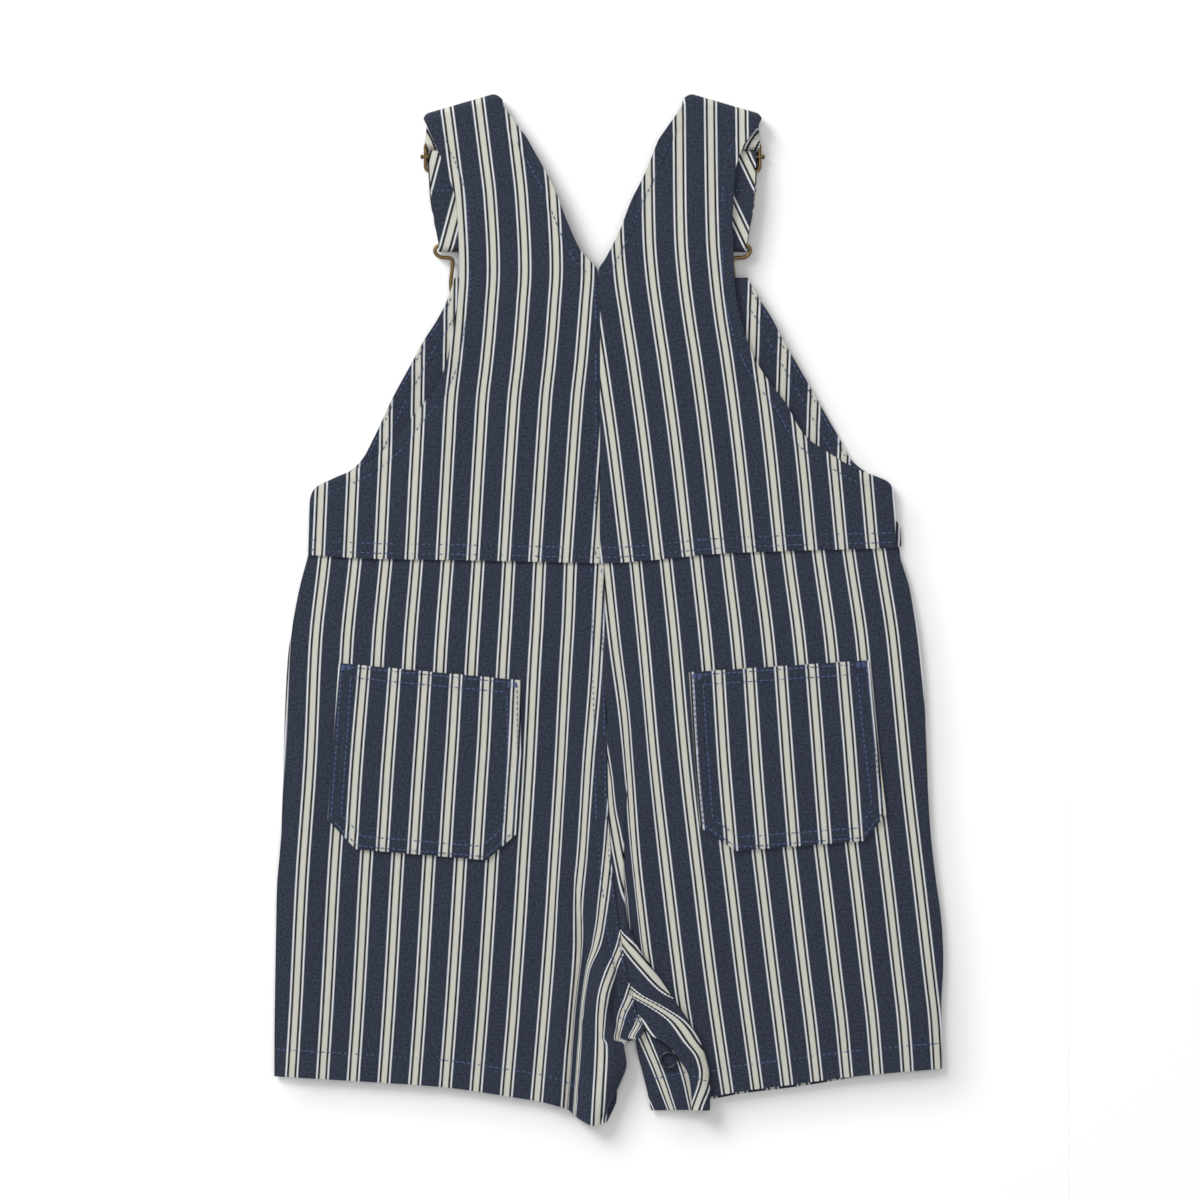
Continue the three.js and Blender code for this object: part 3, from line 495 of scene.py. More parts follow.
def back_panel_left():
    top, bottom = BACK_LEFT[0]["y"], BACK_LEFT[-1]["y"]
    row_y = np.linspace(top, bottom, 132)[:, None]
    side, crease, fold, inner, lift, seam_lift = (
        flowing(BACK_LEFT, column, row_y) for column in ("side", "crease", "fold", "inner", "lift", "seam_lift"))
    x = slope_columns(side, crease, fold, inner)
    last_x = slope_columns(side[-1:], crease[-1:], fold[-1:], inner[-1:])
    t = (top - row_y) / (top - bottom)
    over_leg = 1 - ease((x - fold) / 2 + 0.3)
    hem_y = flowing(HEM_LEFT, "y", last_x, key="x") * over_leg + bottom * (1 - over_leg)
    y = waist_at(x) * (1 - t) + hem_y * t
    z = SEAT + SEAT_LOFT * (1 - np.exp(-np.abs(x - side) / SIDE_ROLL))
    rise = ease((x - crease) / np.maximum(fold - crease, 1) * 1.25)
    crown = 1 - 0.22 * ease((x - fold + 4) / 4)
    drop = ease((x - fold + 0.6) / 1.9)
    z = z + lift * rise * crown * (1 - drop) + seam_lift * drop
    dip = np.minimum(lift * 0.5, 1.5)
    z = z - dip * np.exp(-((x - crease) / 2.0) ** 2) + 0.35 * lift * np.exp(-((x - crease + 6.5) / 4.5) ** 2)
    z = z + crease_height(x, y, SEAT_CREASES)
    from_hem = y - hem_y
    z = z + hem_ridge(from_hem, 13.5, 0.3) + pucker(x, from_hem, 13.5)
    from_waist = waist_at(x) - y
    z = z - 0.5 * np.exp(-from_waist / 2.5) + 0.12 * np.sin(x * 0.6) * np.exp(-from_waist / 14)
    z = np.maximum(z, TWILL + SEAM_GAP + TWILL / 2)
    seam = [(9, "ninth"), (10, "tenth"), (10.3, "past_tenth"), (11, "eleventh"), (12, "twelfth")]
    stripes = even_stripes(STRIPES_LEFT, (-1, 4, 8), y)
    stripes += [(n, flowing(STRIPES_LEFT_SEAM, column, y)) for n, column in seam]
    return cloth("back_leg_left", np.stack([x, y, z], -1), weave(weave_number(x, stripes), y),
                 stands_for=["back_leg_left"])


back_left = back_panel_left()
print("left back panel: area in m2", round(sheet_area(back_left), 4))

# %% [markdown]
# The right back panel. Below the crotch its inside leg is folded over: the cloth runs in from the side, turns back
# under a valley, comes round a fold and lies on itself as a slanting band up to the centre seam. Each row is
# therefore a curve that doubles back, so the band really overhangs the leg and throws a shadow on it.

# %% Right back panel
BACK_RIGHT = [
    dict(y=23.2, side=143.3, fold=10, inner=-2.4, lift=0, seam_lift=0, under=0),
    dict(y=0, side=150.3, fold=10, inner=-2, lift=0, seam_lift=0, under=0),
    dict(y=-25, side=154.6, fold=10, inner=-1.7, lift=0, seam_lift=0, under=0),
    dict(y=-50, side=157, fold=10, inner=-1.2, lift=0, seam_lift=0, under=0),
    dict(y=-75, side=158, fold=9.4, inner=-0.7, lift=0, seam_lift=0, under=0),
    dict(y=-100, side=159, fold=8.2, inner=-0.1, lift=0.1, seam_lift=0.2, under=0),
    dict(y=-120, side=160, fold=7, inner=1.1, lift=0.5, seam_lift=0.5, under=0.6),
    dict(y=-140, side=161.8, fold=7.2, inner=3.1, lift=1.1, seam_lift=0.8, under=1.6),
    dict(y=-155, side=163.6, fold=8.6, inner=5.1, lift=2.4, seam_lift=1, under=2.6),
    dict(y=-168, side=165.4, fold=13.2, inner=6.7, lift=3.4, seam_lift=1.2, under=4),
    dict(y=-180, side=166.4, fold=21.4, inner=9.1, lift=4.2, seam_lift=1.2, under=5.5),
    dict(y=-192, side=166.8, fold=29.4, inner=11.7, lift=4.6, seam_lift=1.4, under=6.5),
    dict(y=-199, side=166.7, fold=34.2, inner=13.6, lift=4.8, seam_lift=1.7, under=6.5),
    dict(y=-205, side=166.4, fold=38.4, inner=16.1, lift=4.8, seam_lift=2, under=6),
    dict(y=-211, side=166, fold=42, inner=18.5, lift=4.8, seam_lift=2.4, under=5),
    dict(y=-218, side=165.8, fold=45.6, inner=29.6, lift=4.8, seam_lift=4, under=4),
    dict(y=-225, side=165.8, fold=47.8, inner=35.2, lift=4.8, seam_lift=4.2, under=3.4),
    dict(y=-233, side=166, fold=49.5, inner=39.8, lift=4.8, seam_lift=4.2, under=3),
    dict(y=-241, side=166, fold=49.8, inner=41, lift=4.8, seam_lift=3.8, under=3),
    dict(y=-250, side=166, fold=49.8, inner=41.5, lift=4.8, seam_lift=3.8, under=3),
]
STRIPES_RIGHT = [dict(y=20, first=13.5, pitch=15.35), dict(y=-16, first=17, pitch=15.6),
                 dict(y=-76, first=22.3, pitch=15.68), dict(y=-136, first=29.2, pitch=15.68),
                 dict(y=-196, first=36.8, pitch=15.6), dict(y=-240, first=43.8, pitch=15.1)]
STRIPES_RIGHT_SEAM = [
    dict(y=20, minus_first=-16, zeroth=-1), dict(y=-16, minus_first=-12.6, zeroth=2.9),
    dict(y=-56, minus_first=-6, zeroth=8), dict(y=-76, minus_first=-1.6, zeroth=9.4),
    dict(y=-87, minus_first=0.1, zeroth=10.2), dict(y=-101, minus_first=1.2, zeroth=11.1),
    dict(y=-114, minus_first=3.4, zeroth=11.9), dict(y=-127, minus_first=5.8, zeroth=12.9),
    dict(y=-150, minus_first=8.4, zeroth=15.4), dict(y=-173, minus_first=10, zeroth=18.3),
    dict(y=-250, minus_first=16, zeroth=29),
]
# The stripes of the folded band, from its fold to the seam; those past the fold or the seam are the pattern's own
STRIPES_BAND = [
    dict(y=20, first=-16, second=-32, third=-48, fourth=-64), dict(y=-76, first=-1.6, second=-17, third=-32, fourth=-48),
    dict(y=-100, first=1.2, second=-13.8, third=-29, fourth=-44),
    dict(y=-127, first=5.8, second=-9.2, third=-24, fourth=-39),
    dict(y=-143, first=9.5, second=-6, third=-22, fourth=-37),
    dict(y=-156, first=15, second=-1, third=-17, fourth=-33),
    dict(y=-164, first=24, second=6, third=-12, fourth=-28), dict(y=-179, first=38, second=18.5, third=-2, fourth=-18),
    dict(y=-192, first=50, second=31, third=11.6, fourth=-5), dict(y=-198, first=60, second=42, third=23, fourth=4),
    dict(y=-205, first=69, second=51.5, third=33.4, fourth=13),
    dict(y=-210, first=73, second=56, third=37.6, fourth=16),
    dict(y=-215, first=76, second=59, third=40.8, fourth=20),
    dict(y=-224, first=80, second=64, third=46.6, fourth=30),
    dict(y=-232, first=79, second=64, third=48, fourth=33), dict(y=-250, first=74, second=58.5, third=43, fourth=29),
]
SEAT_CREASES_RIGHT = [
    dict(x0=58, y0=-165, x1=78, y1=-236, width=9, height=-0.8, bow=-2),
    dict(x0=36, y0=-120, x1=60, y1=-200, width=7, height=0.5),
    dict(x0=104, y0=-130, x1=112, y1=-230, width=10, height=0.6),
    dict(x0=142, y0=-60, x1=150, y1=-225, width=8, height=-0.5),
    dict(x0=20, y0=20, x1=28, y1=-90, width=7, height=0.45),
    dict(x0=86, y0=24, x1=88, y1=-30, width=8, height=-0.4),
    dict(x0=150, y0=-150, x1=160, y1=-225, width=5, height=0.5),
]


def through(points, steps):
    """Points along a smooth curve through a list of arrays, the given number of steps for each stretch."""
    padded = [2 * points[0] - points[1], *points, 2 * points[-1] - points[-2]]
    found = []
    for a, b, c, d in zip(padded, padded[1:], padded[2:], padded[3:]):
        for k in range(steps):
            t = k / steps
            found.append(0.5 * (2 * b + (c - a) * t + (2 * a - 5 * b + 4 * c - d) * t ** 2
                                + (3 * b - a - 3 * c + d) * t ** 3))
    return found + [points[-1]]


def back_panel_right():
    top, bottom = BACK_RIGHT[0]["y"], BACK_RIGHT[-1]["y"]
    row_y = np.linspace(top, bottom, 140)
    side, fold, inner, lift, seam_lift, under = (
        flowing(BACK_RIGHT, column, row_y) for column in ("side", "fold", "inner", "lift", "seam_lift", "under"))
    flat = SEAT + SEAT_LOFT
    reach = 4 + 3 * ease((20 - fold) / 14)
    near = fold + reach
    seat = np.linspace(0, 1, 60)[:-1]
    main_x = side[:, None] + (near - side)[:, None] * seat
    main_z = SEAT + SEAT_LOFT * (1 - np.exp(-np.abs(main_x - side[:, None]) / SIDE_ROLL))
    width = fold - inner
    dip = 0.5 * ease((-80 - row_y) / 30)
    turn = through([np.stack([near, np.full_like(near, flat)], -1),
                    np.stack([fold - under * 0.35 + 1.2, flat - dip], -1),
                    np.stack([fold - under, flat - dip + 0.34 * lift], -1),
                    np.stack([fold, flat + 0.66 * lift], -1),
                    np.stack([fold - np.minimum(0.22 * width, 2.2), flat + lift], -1)], 4)
    turn = np.stack(turn, 1)
    s = np.linspace(0, 1, 15)[1:]
    start_x, start_z = turn[:, -1, 0][:, None], turn[:, -1, 1][:, None]
    band_x = start_x + (inner[:, None] - start_x) * s
    crown = 0.5 * np.sin(np.pi * s) * ease((-150 - row_y) / 30)[:, None]
    band_z = start_z + (flat + seam_lift[:, None] - start_z) * ease(s) + crown
    x = np.concatenate([main_x, turn[:, :, 0], band_x], 1)
    z = np.concatenate([main_z, turn[:, :, 1], band_z], 1)
    t = ((top - row_y) / (top - bottom))[:, None]
    folded = np.concatenate([np.zeros_like(main_x), np.ones((len(row_y), x.shape[1] - main_x.shape[1]))], 1)
    folded[:, main_x.shape[1]:main_x.shape[1] + 4] = 0.0
    folded[:, main_x.shape[1] + 4:main_x.shape[1] + 8] = 0.5
    hem_main = flowing(HEM_RIGHT, "y", np.maximum(x[-1:], 50.0), key="x")
    hem_y = hem_main + (bottom - hem_main) * folded
    y = waist_at(x) * (1 - t) + hem_y * t
    z = z + crease_height(x, y, SEAT_CREASES_RIGHT) * (1 - ease(folded * 2))
    from_hem = y - hem_y
    z = z + (hem_ridge(from_hem, 12.8, 0.3) + pucker(x, from_hem, 12.8)) * (1 - folded)
    from_waist = waist_at(x) - y
    z = z - 0.5 * np.exp(-from_waist / 2.5) + 0.12 * np.sin(x * 0.6) * np.exp(-from_waist / 14)
    z = np.maximum(z, TWILL + SEAM_GAP + TWILL / 2)
    stripes = [(-1, flowing(STRIPES_RIGHT_SEAM, "minus_first", y)), (0, flowing(STRIPES_RIGHT_SEAM, "zeroth", y))]
    stripes += even_stripes(STRIPES_RIGHT, (1, 5, 9), y, first_number=1)
    number = weave_number(x, stripes)
    band = [(n, flowing(STRIPES_BAND, column, y)) for n, column in ((-4, "fourth"), (-3, "third"), (-2, "second"),
                                                                   (-1, "first"))]
    on_band = weave_number(x, band)
    valley, round_fold = main_x.shape[1] + 8, main_x.shape[1] + 12
    lower = ease((-85 - y) / 30)
    number[:, round_fold:] += (on_band - number)[:, round_fold:] * lower[:, round_fold:]
    share = np.linspace(0, 1, round_fold - valley + 1)[None, :]
    hidden = number[:, valley:valley + 1] * (1 - share) + number[:, round_fold:round_fold + 1] * share
    blend = lower[:, valley:round_fold + 1]
    number[:, valley:round_fold + 1] += (hidden - number[:, valley:round_fold + 1]) * blend
    return cloth("back_leg_right", np.stack([x, y, z], -1), weave(number, y), stands_for=["back_leg_right"])


back_right = back_panel_right()
print("right back panel: area in m2", round(sheet_area(back_right), 4))

# %% [markdown]
# The snap placket lies along the front's inside leg and comes round to the back under the folded band. It is a
# strip of the same cloth whose stripes run on the slant, and the ring of an open snap is set into it.

# %% Snap placket
PLACKET = [dict(y=-212.6, left=13, right=24, right_y=-208, right_z=2.2),
           dict(y=-220.8, left=14, right=33, right_y=-219, right_z=3.4),
           dict(y=-230.8, left=16.5, right=43, right_y=-231, right_z=3.8),
           dict(y=-240.8, left=19, right=45, right_y=-241, right_z=3.8),
           dict(y=-250.6, left=21, right=46, right_y=-250, right_z=3.8)]
STRIPES_PLACKET = [dict(y=-212, first=16.5, pitch=15), dict(y=-231, first=24.5, pitch=13.8),
                   dict(y=-250, first=31.3, pitch=11)]


def placket():
    row_y = np.linspace(PLACKET[0]["y"], PLACKET[-1]["y"], 26)[:, None]
    left, right, right_y, right_z = (flowing(PLACKET, c, row_y) for c in ("left", "right", "right_y", "right_z"))
    s = np.linspace(0, 1, 18)[None, :]
    x = left + (right - left) * s
    y = row_y + (right_y - row_y) * s
    low = TWILL + SEAM_GAP + TWILL / 2
    z = low + (right_z - low) * ease(s)
    z = z + hem_ridge(y + 250.3, 12, 0.25)
    number = (x - flowing(STRIPES_PLACKET, "first", y)) / flowing(STRIPES_PLACKET, "pitch", y)
    return cloth("snap_placket", np.stack([x, y, z], -1), weave(number, y), stands_for=["snap_placket"])


placket_piece = placket()

# %% [markdown]
# Two patch pockets are sewn to the seat: square at the mouth, with the lower corners cut off. Each is a flat panel
# that stands a little off the seat at its mouth, with its turned-in edges pressed into a low ridge.

# %% Back pockets
POCKET_LEFT = [dict(left_x=-134.8, left_y=-27.2, right_x=-44.3, right_y=-35.8),
               dict(left_x=-137.4, left_y=-66, right_x=-44, right_y=-73),
               dict(left_x=-140.3, left_y=-105.2, right_x=-46.4, right_y=-112.4),
               dict(left_x=-126.2, left_y=-120, right_x=-61, right_y=-125.4)]
POCKET_RIGHT = [dict(left_x=40, left_y=-31.8, right_x=129.7, right_y=-25.8),
                dict(left_x=42.4, left_y=-70, right_x=133.6, right_y=-64),
                dict(left_x=45.4, left_y=-108.8, right_x=138.2, right_y=-102.2),
                dict(left_x=63.5, left_y=-120.8, right_x=127.3, right_y=-115.8)]
STRIPES_POCKET_LEFT = [dict(y=-36, first=-122.6, pitch=15.4), dict(y=-76, first=-125.9, pitch=15.7),
                       dict(y=-116, first=-128.5, pitch=15.7)]
STRIPES_POCKET_RIGHT = [dict(y=-36, first=54.8, pitch=15.6), dict(y=-76, first=57.3, pitch=15.8),
                        dict(y=-116, first=60.7, pitch=15.7)]
POCKET_BASE = SEAT + SEAT_LOFT + TWILL + SEAM_GAP


def edge_distance(x, y, corners):
    """How far inside a convex outline each point lies."""
    nearest = np.full_like(x, 1e3)
    for (ax, ay), (bx, by) in zip(corners, corners[1:] + corners[:1]):
        length = math.hypot(bx - ax, by - ay)
        nearest = np.minimum(nearest, np.abs((x - ax) * (by - ay) - (y - ay) * (bx - ax)) / length)
    return nearest


def pocket(name, table, stripe_table):
    rows = []
    for k, (a, b) in enumerate(zip(table, table[1:])):
        count = 16 if k < 2 else 9
        rows += [[a[c] + (b[c] - a[c]) * i / count for c in ("left_x", "left_y", "right_x", "right_y")]
                 for i in range(count)]
    rows.append([table[-1][c] for c in ("left_x", "left_y", "right_x", "right_y")])
    left_x, left_y, right_x, right_y = (np.array(c)[:, None] for c in zip(*rows))
    s = np.linspace(0, 1, 46)[None, :]
    x = left_x + (right_x - left_x) * s
    y = left_y + (right_y - left_y) * s
    depth = np.linspace(0, 1, len(rows))[:, None]
    corners = [(r["left_x"], r["left_y"]) for r in table] + [(r["right_x"], r["right_y"]) for r in reversed(table)]
    inside = edge_distance(x, y, corners)
    z = POCKET_BASE + 0.9 * np.sin(np.pi * s) * (1 - depth) ** 1.3
    z = z + 0.3 * (1 - ease((inside - 6.2) / 1.2)) - 0.2 * np.exp(-((inside - 6.6) / 0.7) ** 2)
    z = z - 0.35 * np.exp(-inside / 0.8) + pucker(x + y, inside, 7.0, 0.07)
    number = (x - flowing(stripe_table, "first", y)) / flowing(stripe_table, "pitch", y)
    return cloth(name, np.stack([x, y, z], -1), weave(number, y), stands_for=[name]), corners


pocket_left, corners_left = pocket("back_pocket_left", POCKET_LEFT, STRIPES_POCKET_LEFT)
pocket_right, corners_right = pocket("back_pocket_right", POCKET_RIGHT, STRIPES_POCKET_RIGHT)
print("pockets:", pocket_left.name, pocket_right.name)

# %% [markdown]
# The front bib lies face down and shows at both sides of the back bib. It is faced with a second layer and lifts
# towards its top, where the two buttons lie under it.

# %% Front bib
FRONT_BIB = [dict(y=27.5, left=-148, right=146), dict(y=40, left=-148, right=145.5),
             dict(y=46, left=-148, right=141.6), dict(y=57, left=-147, right=139.6),
             dict(y=64, left=-136, right=133.5), dict(y=74.2, left=-123.5, right=121),
             dict(y=84.2, left=-118, right=115.5), dict(y=104.2, left=-108.5, right=104),
             dict(y=124.2, left=-97.5, right=92.5), dict(y=134.2, left=-92, right=86.5),
             dict(y=144.2, left=-85.5, right=81.5), dict(y=154.2, left=-80.5, right=75),
             dict(y=165, left=-77, right=69)]
BIB_LIFT = dict(start=80, stop=148, height=4.4)


def front_bib():
    row_y = np.linspace(FRONT_BIB[0]["y"], FRONT_BIB[-1]["y"], 62)[:, None]
    left, right = flowing(FRONT_BIB, "left", row_y), flowing(FRONT_BIB, "right", row_y)
    s = np.linspace(0, 1, 110)[None, :]
    x = left + (right - left) * s
    y = row_y + 0 * x
    y = y + (waist_at(x) + SEAM_GAP - row_y[0, 0]) * (1 - ease((row_y - 27.5) / 20))
    lift = BIB_LIFT["height"] * ease((y - BIB_LIFT["start"]) / (BIB_LIFT["stop"] - BIB_LIFT["start"]))
    inside = np.minimum(x - left, right - x) * 0.87
    z = DOUBLED / 2 + lift + 0.3 * (1 - ease((inside - 6.2) / 1.2)) * ease((y - 60) / 10)
    z = z - 0.16 * np.exp(-((inside - 6.6) / 0.7) ** 2) * ease((y - 60) / 10)
    z = np.maximum(z + pucker(y * 1.3, inside, 6.6, 0.08), DOUBLED / 2)
    on_left = (x - (-79.5 + (y - 128) * 0.02)) / 15.6
    on_right = (x - (86.9 + (y - 114) * 0.03)) / 15.8
    number = np.where(x < 0, on_left, on_right)
    return cloth("front_bib", np.stack([x, y, z], -1), weave(number, y), DOUBLED, stands_for=["front_bib"])


front_bib_piece = front_bib()

# %% [markdown]
# Each half of the back bib is cut in one with its strap. The strap goes over the shoulder in a round fold, runs down
# under itself to the hook's bar, turns round that, and comes back up to the slider's bar, where its end is sewn. The
# stripes never break: a point of a turned stretch takes its number from where it would lie if the strap were
# unfolded flat, which is its mirror image across the fold.

# %% Back bib and straps
GARMENT_AXIS = -8.2
WIRE_Z = 3.2
STRAP_WRAP = 2.4
FRONT_STRAP_Z = DOUBLED / 2
RETURN_STRAP_Z = WIRE_Z + STRAP_WRAP
BACK_STRAP_Z = RETURN_STRAP_Z + DOUBLED + SEAM_GAP
SHOULDER_ROLL = (BACK_STRAP_Z - FRONT_STRAP_Z) / 2
BACK_RISE = dict(start=58, stop=158)
BAR_Y = 181.2
HEADINGS = ("outer_x", "outer_y", "inner_x", "inner_y")
BIB_LEFT = [dict(zip(HEADINGS, row)) for row in (
    (-150, 27.6, -4.6, 23.5), (-149.6, 43, -4.8, 42), (-149.2, 54, -4.8, 57), (-147, 59.8, -4.8, 64),
    (-139.5, 63.8, -4.8, 71), (-125.5, 69.8, -4.7, 80), (-112, 78.8, -4.6, 90), (-97.5, 96.2, -4.6, 104),
    (-86.5, 110.2, -4.6, 118), (-81, 122.8, -4.6, 132), (-77.5, 140.8, -4.7, 148), (-75.2, 155.2, -4.9, 160),
    (-74.5, 168, -5.6, 168.2), (-74.8, 180, -14, 178.2), (-75.2, 190.2, -20.5, 192), (-76.6, 204.2, -26, 206.2),
    (-81, 218.2, -32, 218.2), (-86.5, 231, -41, 234.5))]
BIB_RIGHT = [dict(zip(HEADINGS, row)) for row in (
    (143, 31.1, -4.3, 23.5), (143, 42, -4.4, 42), (142, 58.5, -4.4, 61), (139.2, 63.2, -4.4, 68),
    (134.5, 65.2, -4.3, 73), (125, 68.8, -4.3, 81), (108, 78.5, -4.3, 91), (98, 85.8, -4.3, 101),
    (87.5, 103.2, -4.3, 115), (79, 114.2, -4.3, 127), (72, 125.8, -4.3, 139), (66, 142.5, -4.3, 152),
    (62.5, 162, -5.2, 167.6), (62, 176.2, -1.5, 174.8), (61.5, 190.2, 5, 187.5), (62, 204.2, 11, 203),
    (63, 218.2, 17.5, 216), (67, 231, 24.6, 233.5))]
SHOULDER = dict(outer=83.2, outer_y=242.6, inner=45.6, inner_y=253.55)
FRONT_RUN = [dict(outer=83.4, outer_y=232, inner=47.6, inner_y=238),
             dict(outer=82.2, outer_y=221, inner=50, inner_y=222),
             dict(outer=81.3, outer_y=206, inner=51, inner_y=206),
             dict(outer=78.6, outer_y=190, inner=51.8, inner_y=190),
             dict(outer=76.9, outer_y=BAR_Y, inner=51.8, inner_y=BAR_Y)]
RETURN_RUN = [dict(outer=76.6, outer_y=BAR_Y, inner=51.8, inner_y=BAR_Y),
              dict(outer=78.2, outer_y=190, inner=51.9, inner_y=190),
              dict(outer=80.6, outer_y=206, inner=51.2, inner_y=206),
              dict(outer=81.5, outer_y=225.5, inner=50.4, inner_y=225.5)]
STRIPES_BIB = {
    -1: (4, [dict(y=30, first=-83, pitch=15.45), dict(y=84, first=-80, pitch=15.62),
             dict(y=104, first=-78.8, pitch=15.7), dict(y=124, first=-76.5, pitch=15.65),
             dict(y=150, first=-74.2, pitch=15.6), dict(y=168, first=-73.2, pitch=15.65),
             dict(y=204, first=-74.9, pitch=15.7), dict(y=224, first=-77.4, pitch=15.9),
             dict(y=240, first=-79.5, pitch=16)]),
    1: (3, [dict(y=30, first=54.5, pitch=15.4), dict(y=84, first=48.5, pitch=15.6),
            dict(y=124, first=43.1, pitch=15.7), dict(y=144, first=40, pitch=15.65),
            dict(y=164, first=37.4, pitch=15.8), dict(y=184, first=35.8, pitch=15.8),
            dict(y=204, first=35.3, pitch=15.75), dict(y=240, first=35, pitch=15.6)]),
}
BIB_CREASES = [
    dict(x0=-100, y0=40, x1=-78, y1=110, width=10, height=0.7), dict(x0=-40, y0=40, x1=-52, y1=130, width=12, height=0.6),
    dict(x0=-8, y0=150, x1=-40, y1=120, width=7, height=-0.5), dict(x0=92, y0=40, x1=70, y1=112, width=10, height=0.7),
    dict(x0=30, y0=45, x1=38, y1=140, width=12, height=0.6), dict(x0=-2, y0=152, x1=28, y1=126, width=7, height=-0.5),
    dict(x0=-64, y0=160, x1=-60, y1=228, width=8, height=0.5), dict(x0=44, y0=150, x1=42, y1=228, width=8, height=0.5),
]
RETURN_SKEW = 0.17  # the strap turns a little askew round the hook's bar
COLUMNS_BIB = 56


def fine_rows(table, spacing):
    """The two edges of a panel as rows about the given distance apart, along smooth lines through its table."""
    places = [0.0]
    for a, b in zip(table, table[1:]):
        step = max(math.hypot(b["outer_x"] - a["outer_x"], b["outer_y"] - a["outer_y"]),
                   math.hypot(b["inner_x"] - a["inner_x"], b["inner_y"] - a["inner_y"]))
        places.append(places[-1] + step)
    keyed = [dict(row, s=place) for row, place in zip(table, places)]
    at = np.linspace(0, places[-1], int(places[-1] / spacing) + 1)
    return [np.stack([flowing(keyed, side + "_x", at, "s"), flowing(keyed, side + "_y", at, "s")], -1)
            for side in ("outer", "inner")]


def strap_rows(table, side, spacing=2.0):
    """A run of the strap as fine rows, from a table of distances from the garment's axis."""
    placed = [dict(outer_x=GARMENT_AXIS + side * r["outer"], outer_y=r["outer_y"],
                   inner_x=GARMENT_AXIS + side * r["inner"], inner_y=r["inner_y"]) for r in table]
    return fine_rows(placed, spacing)


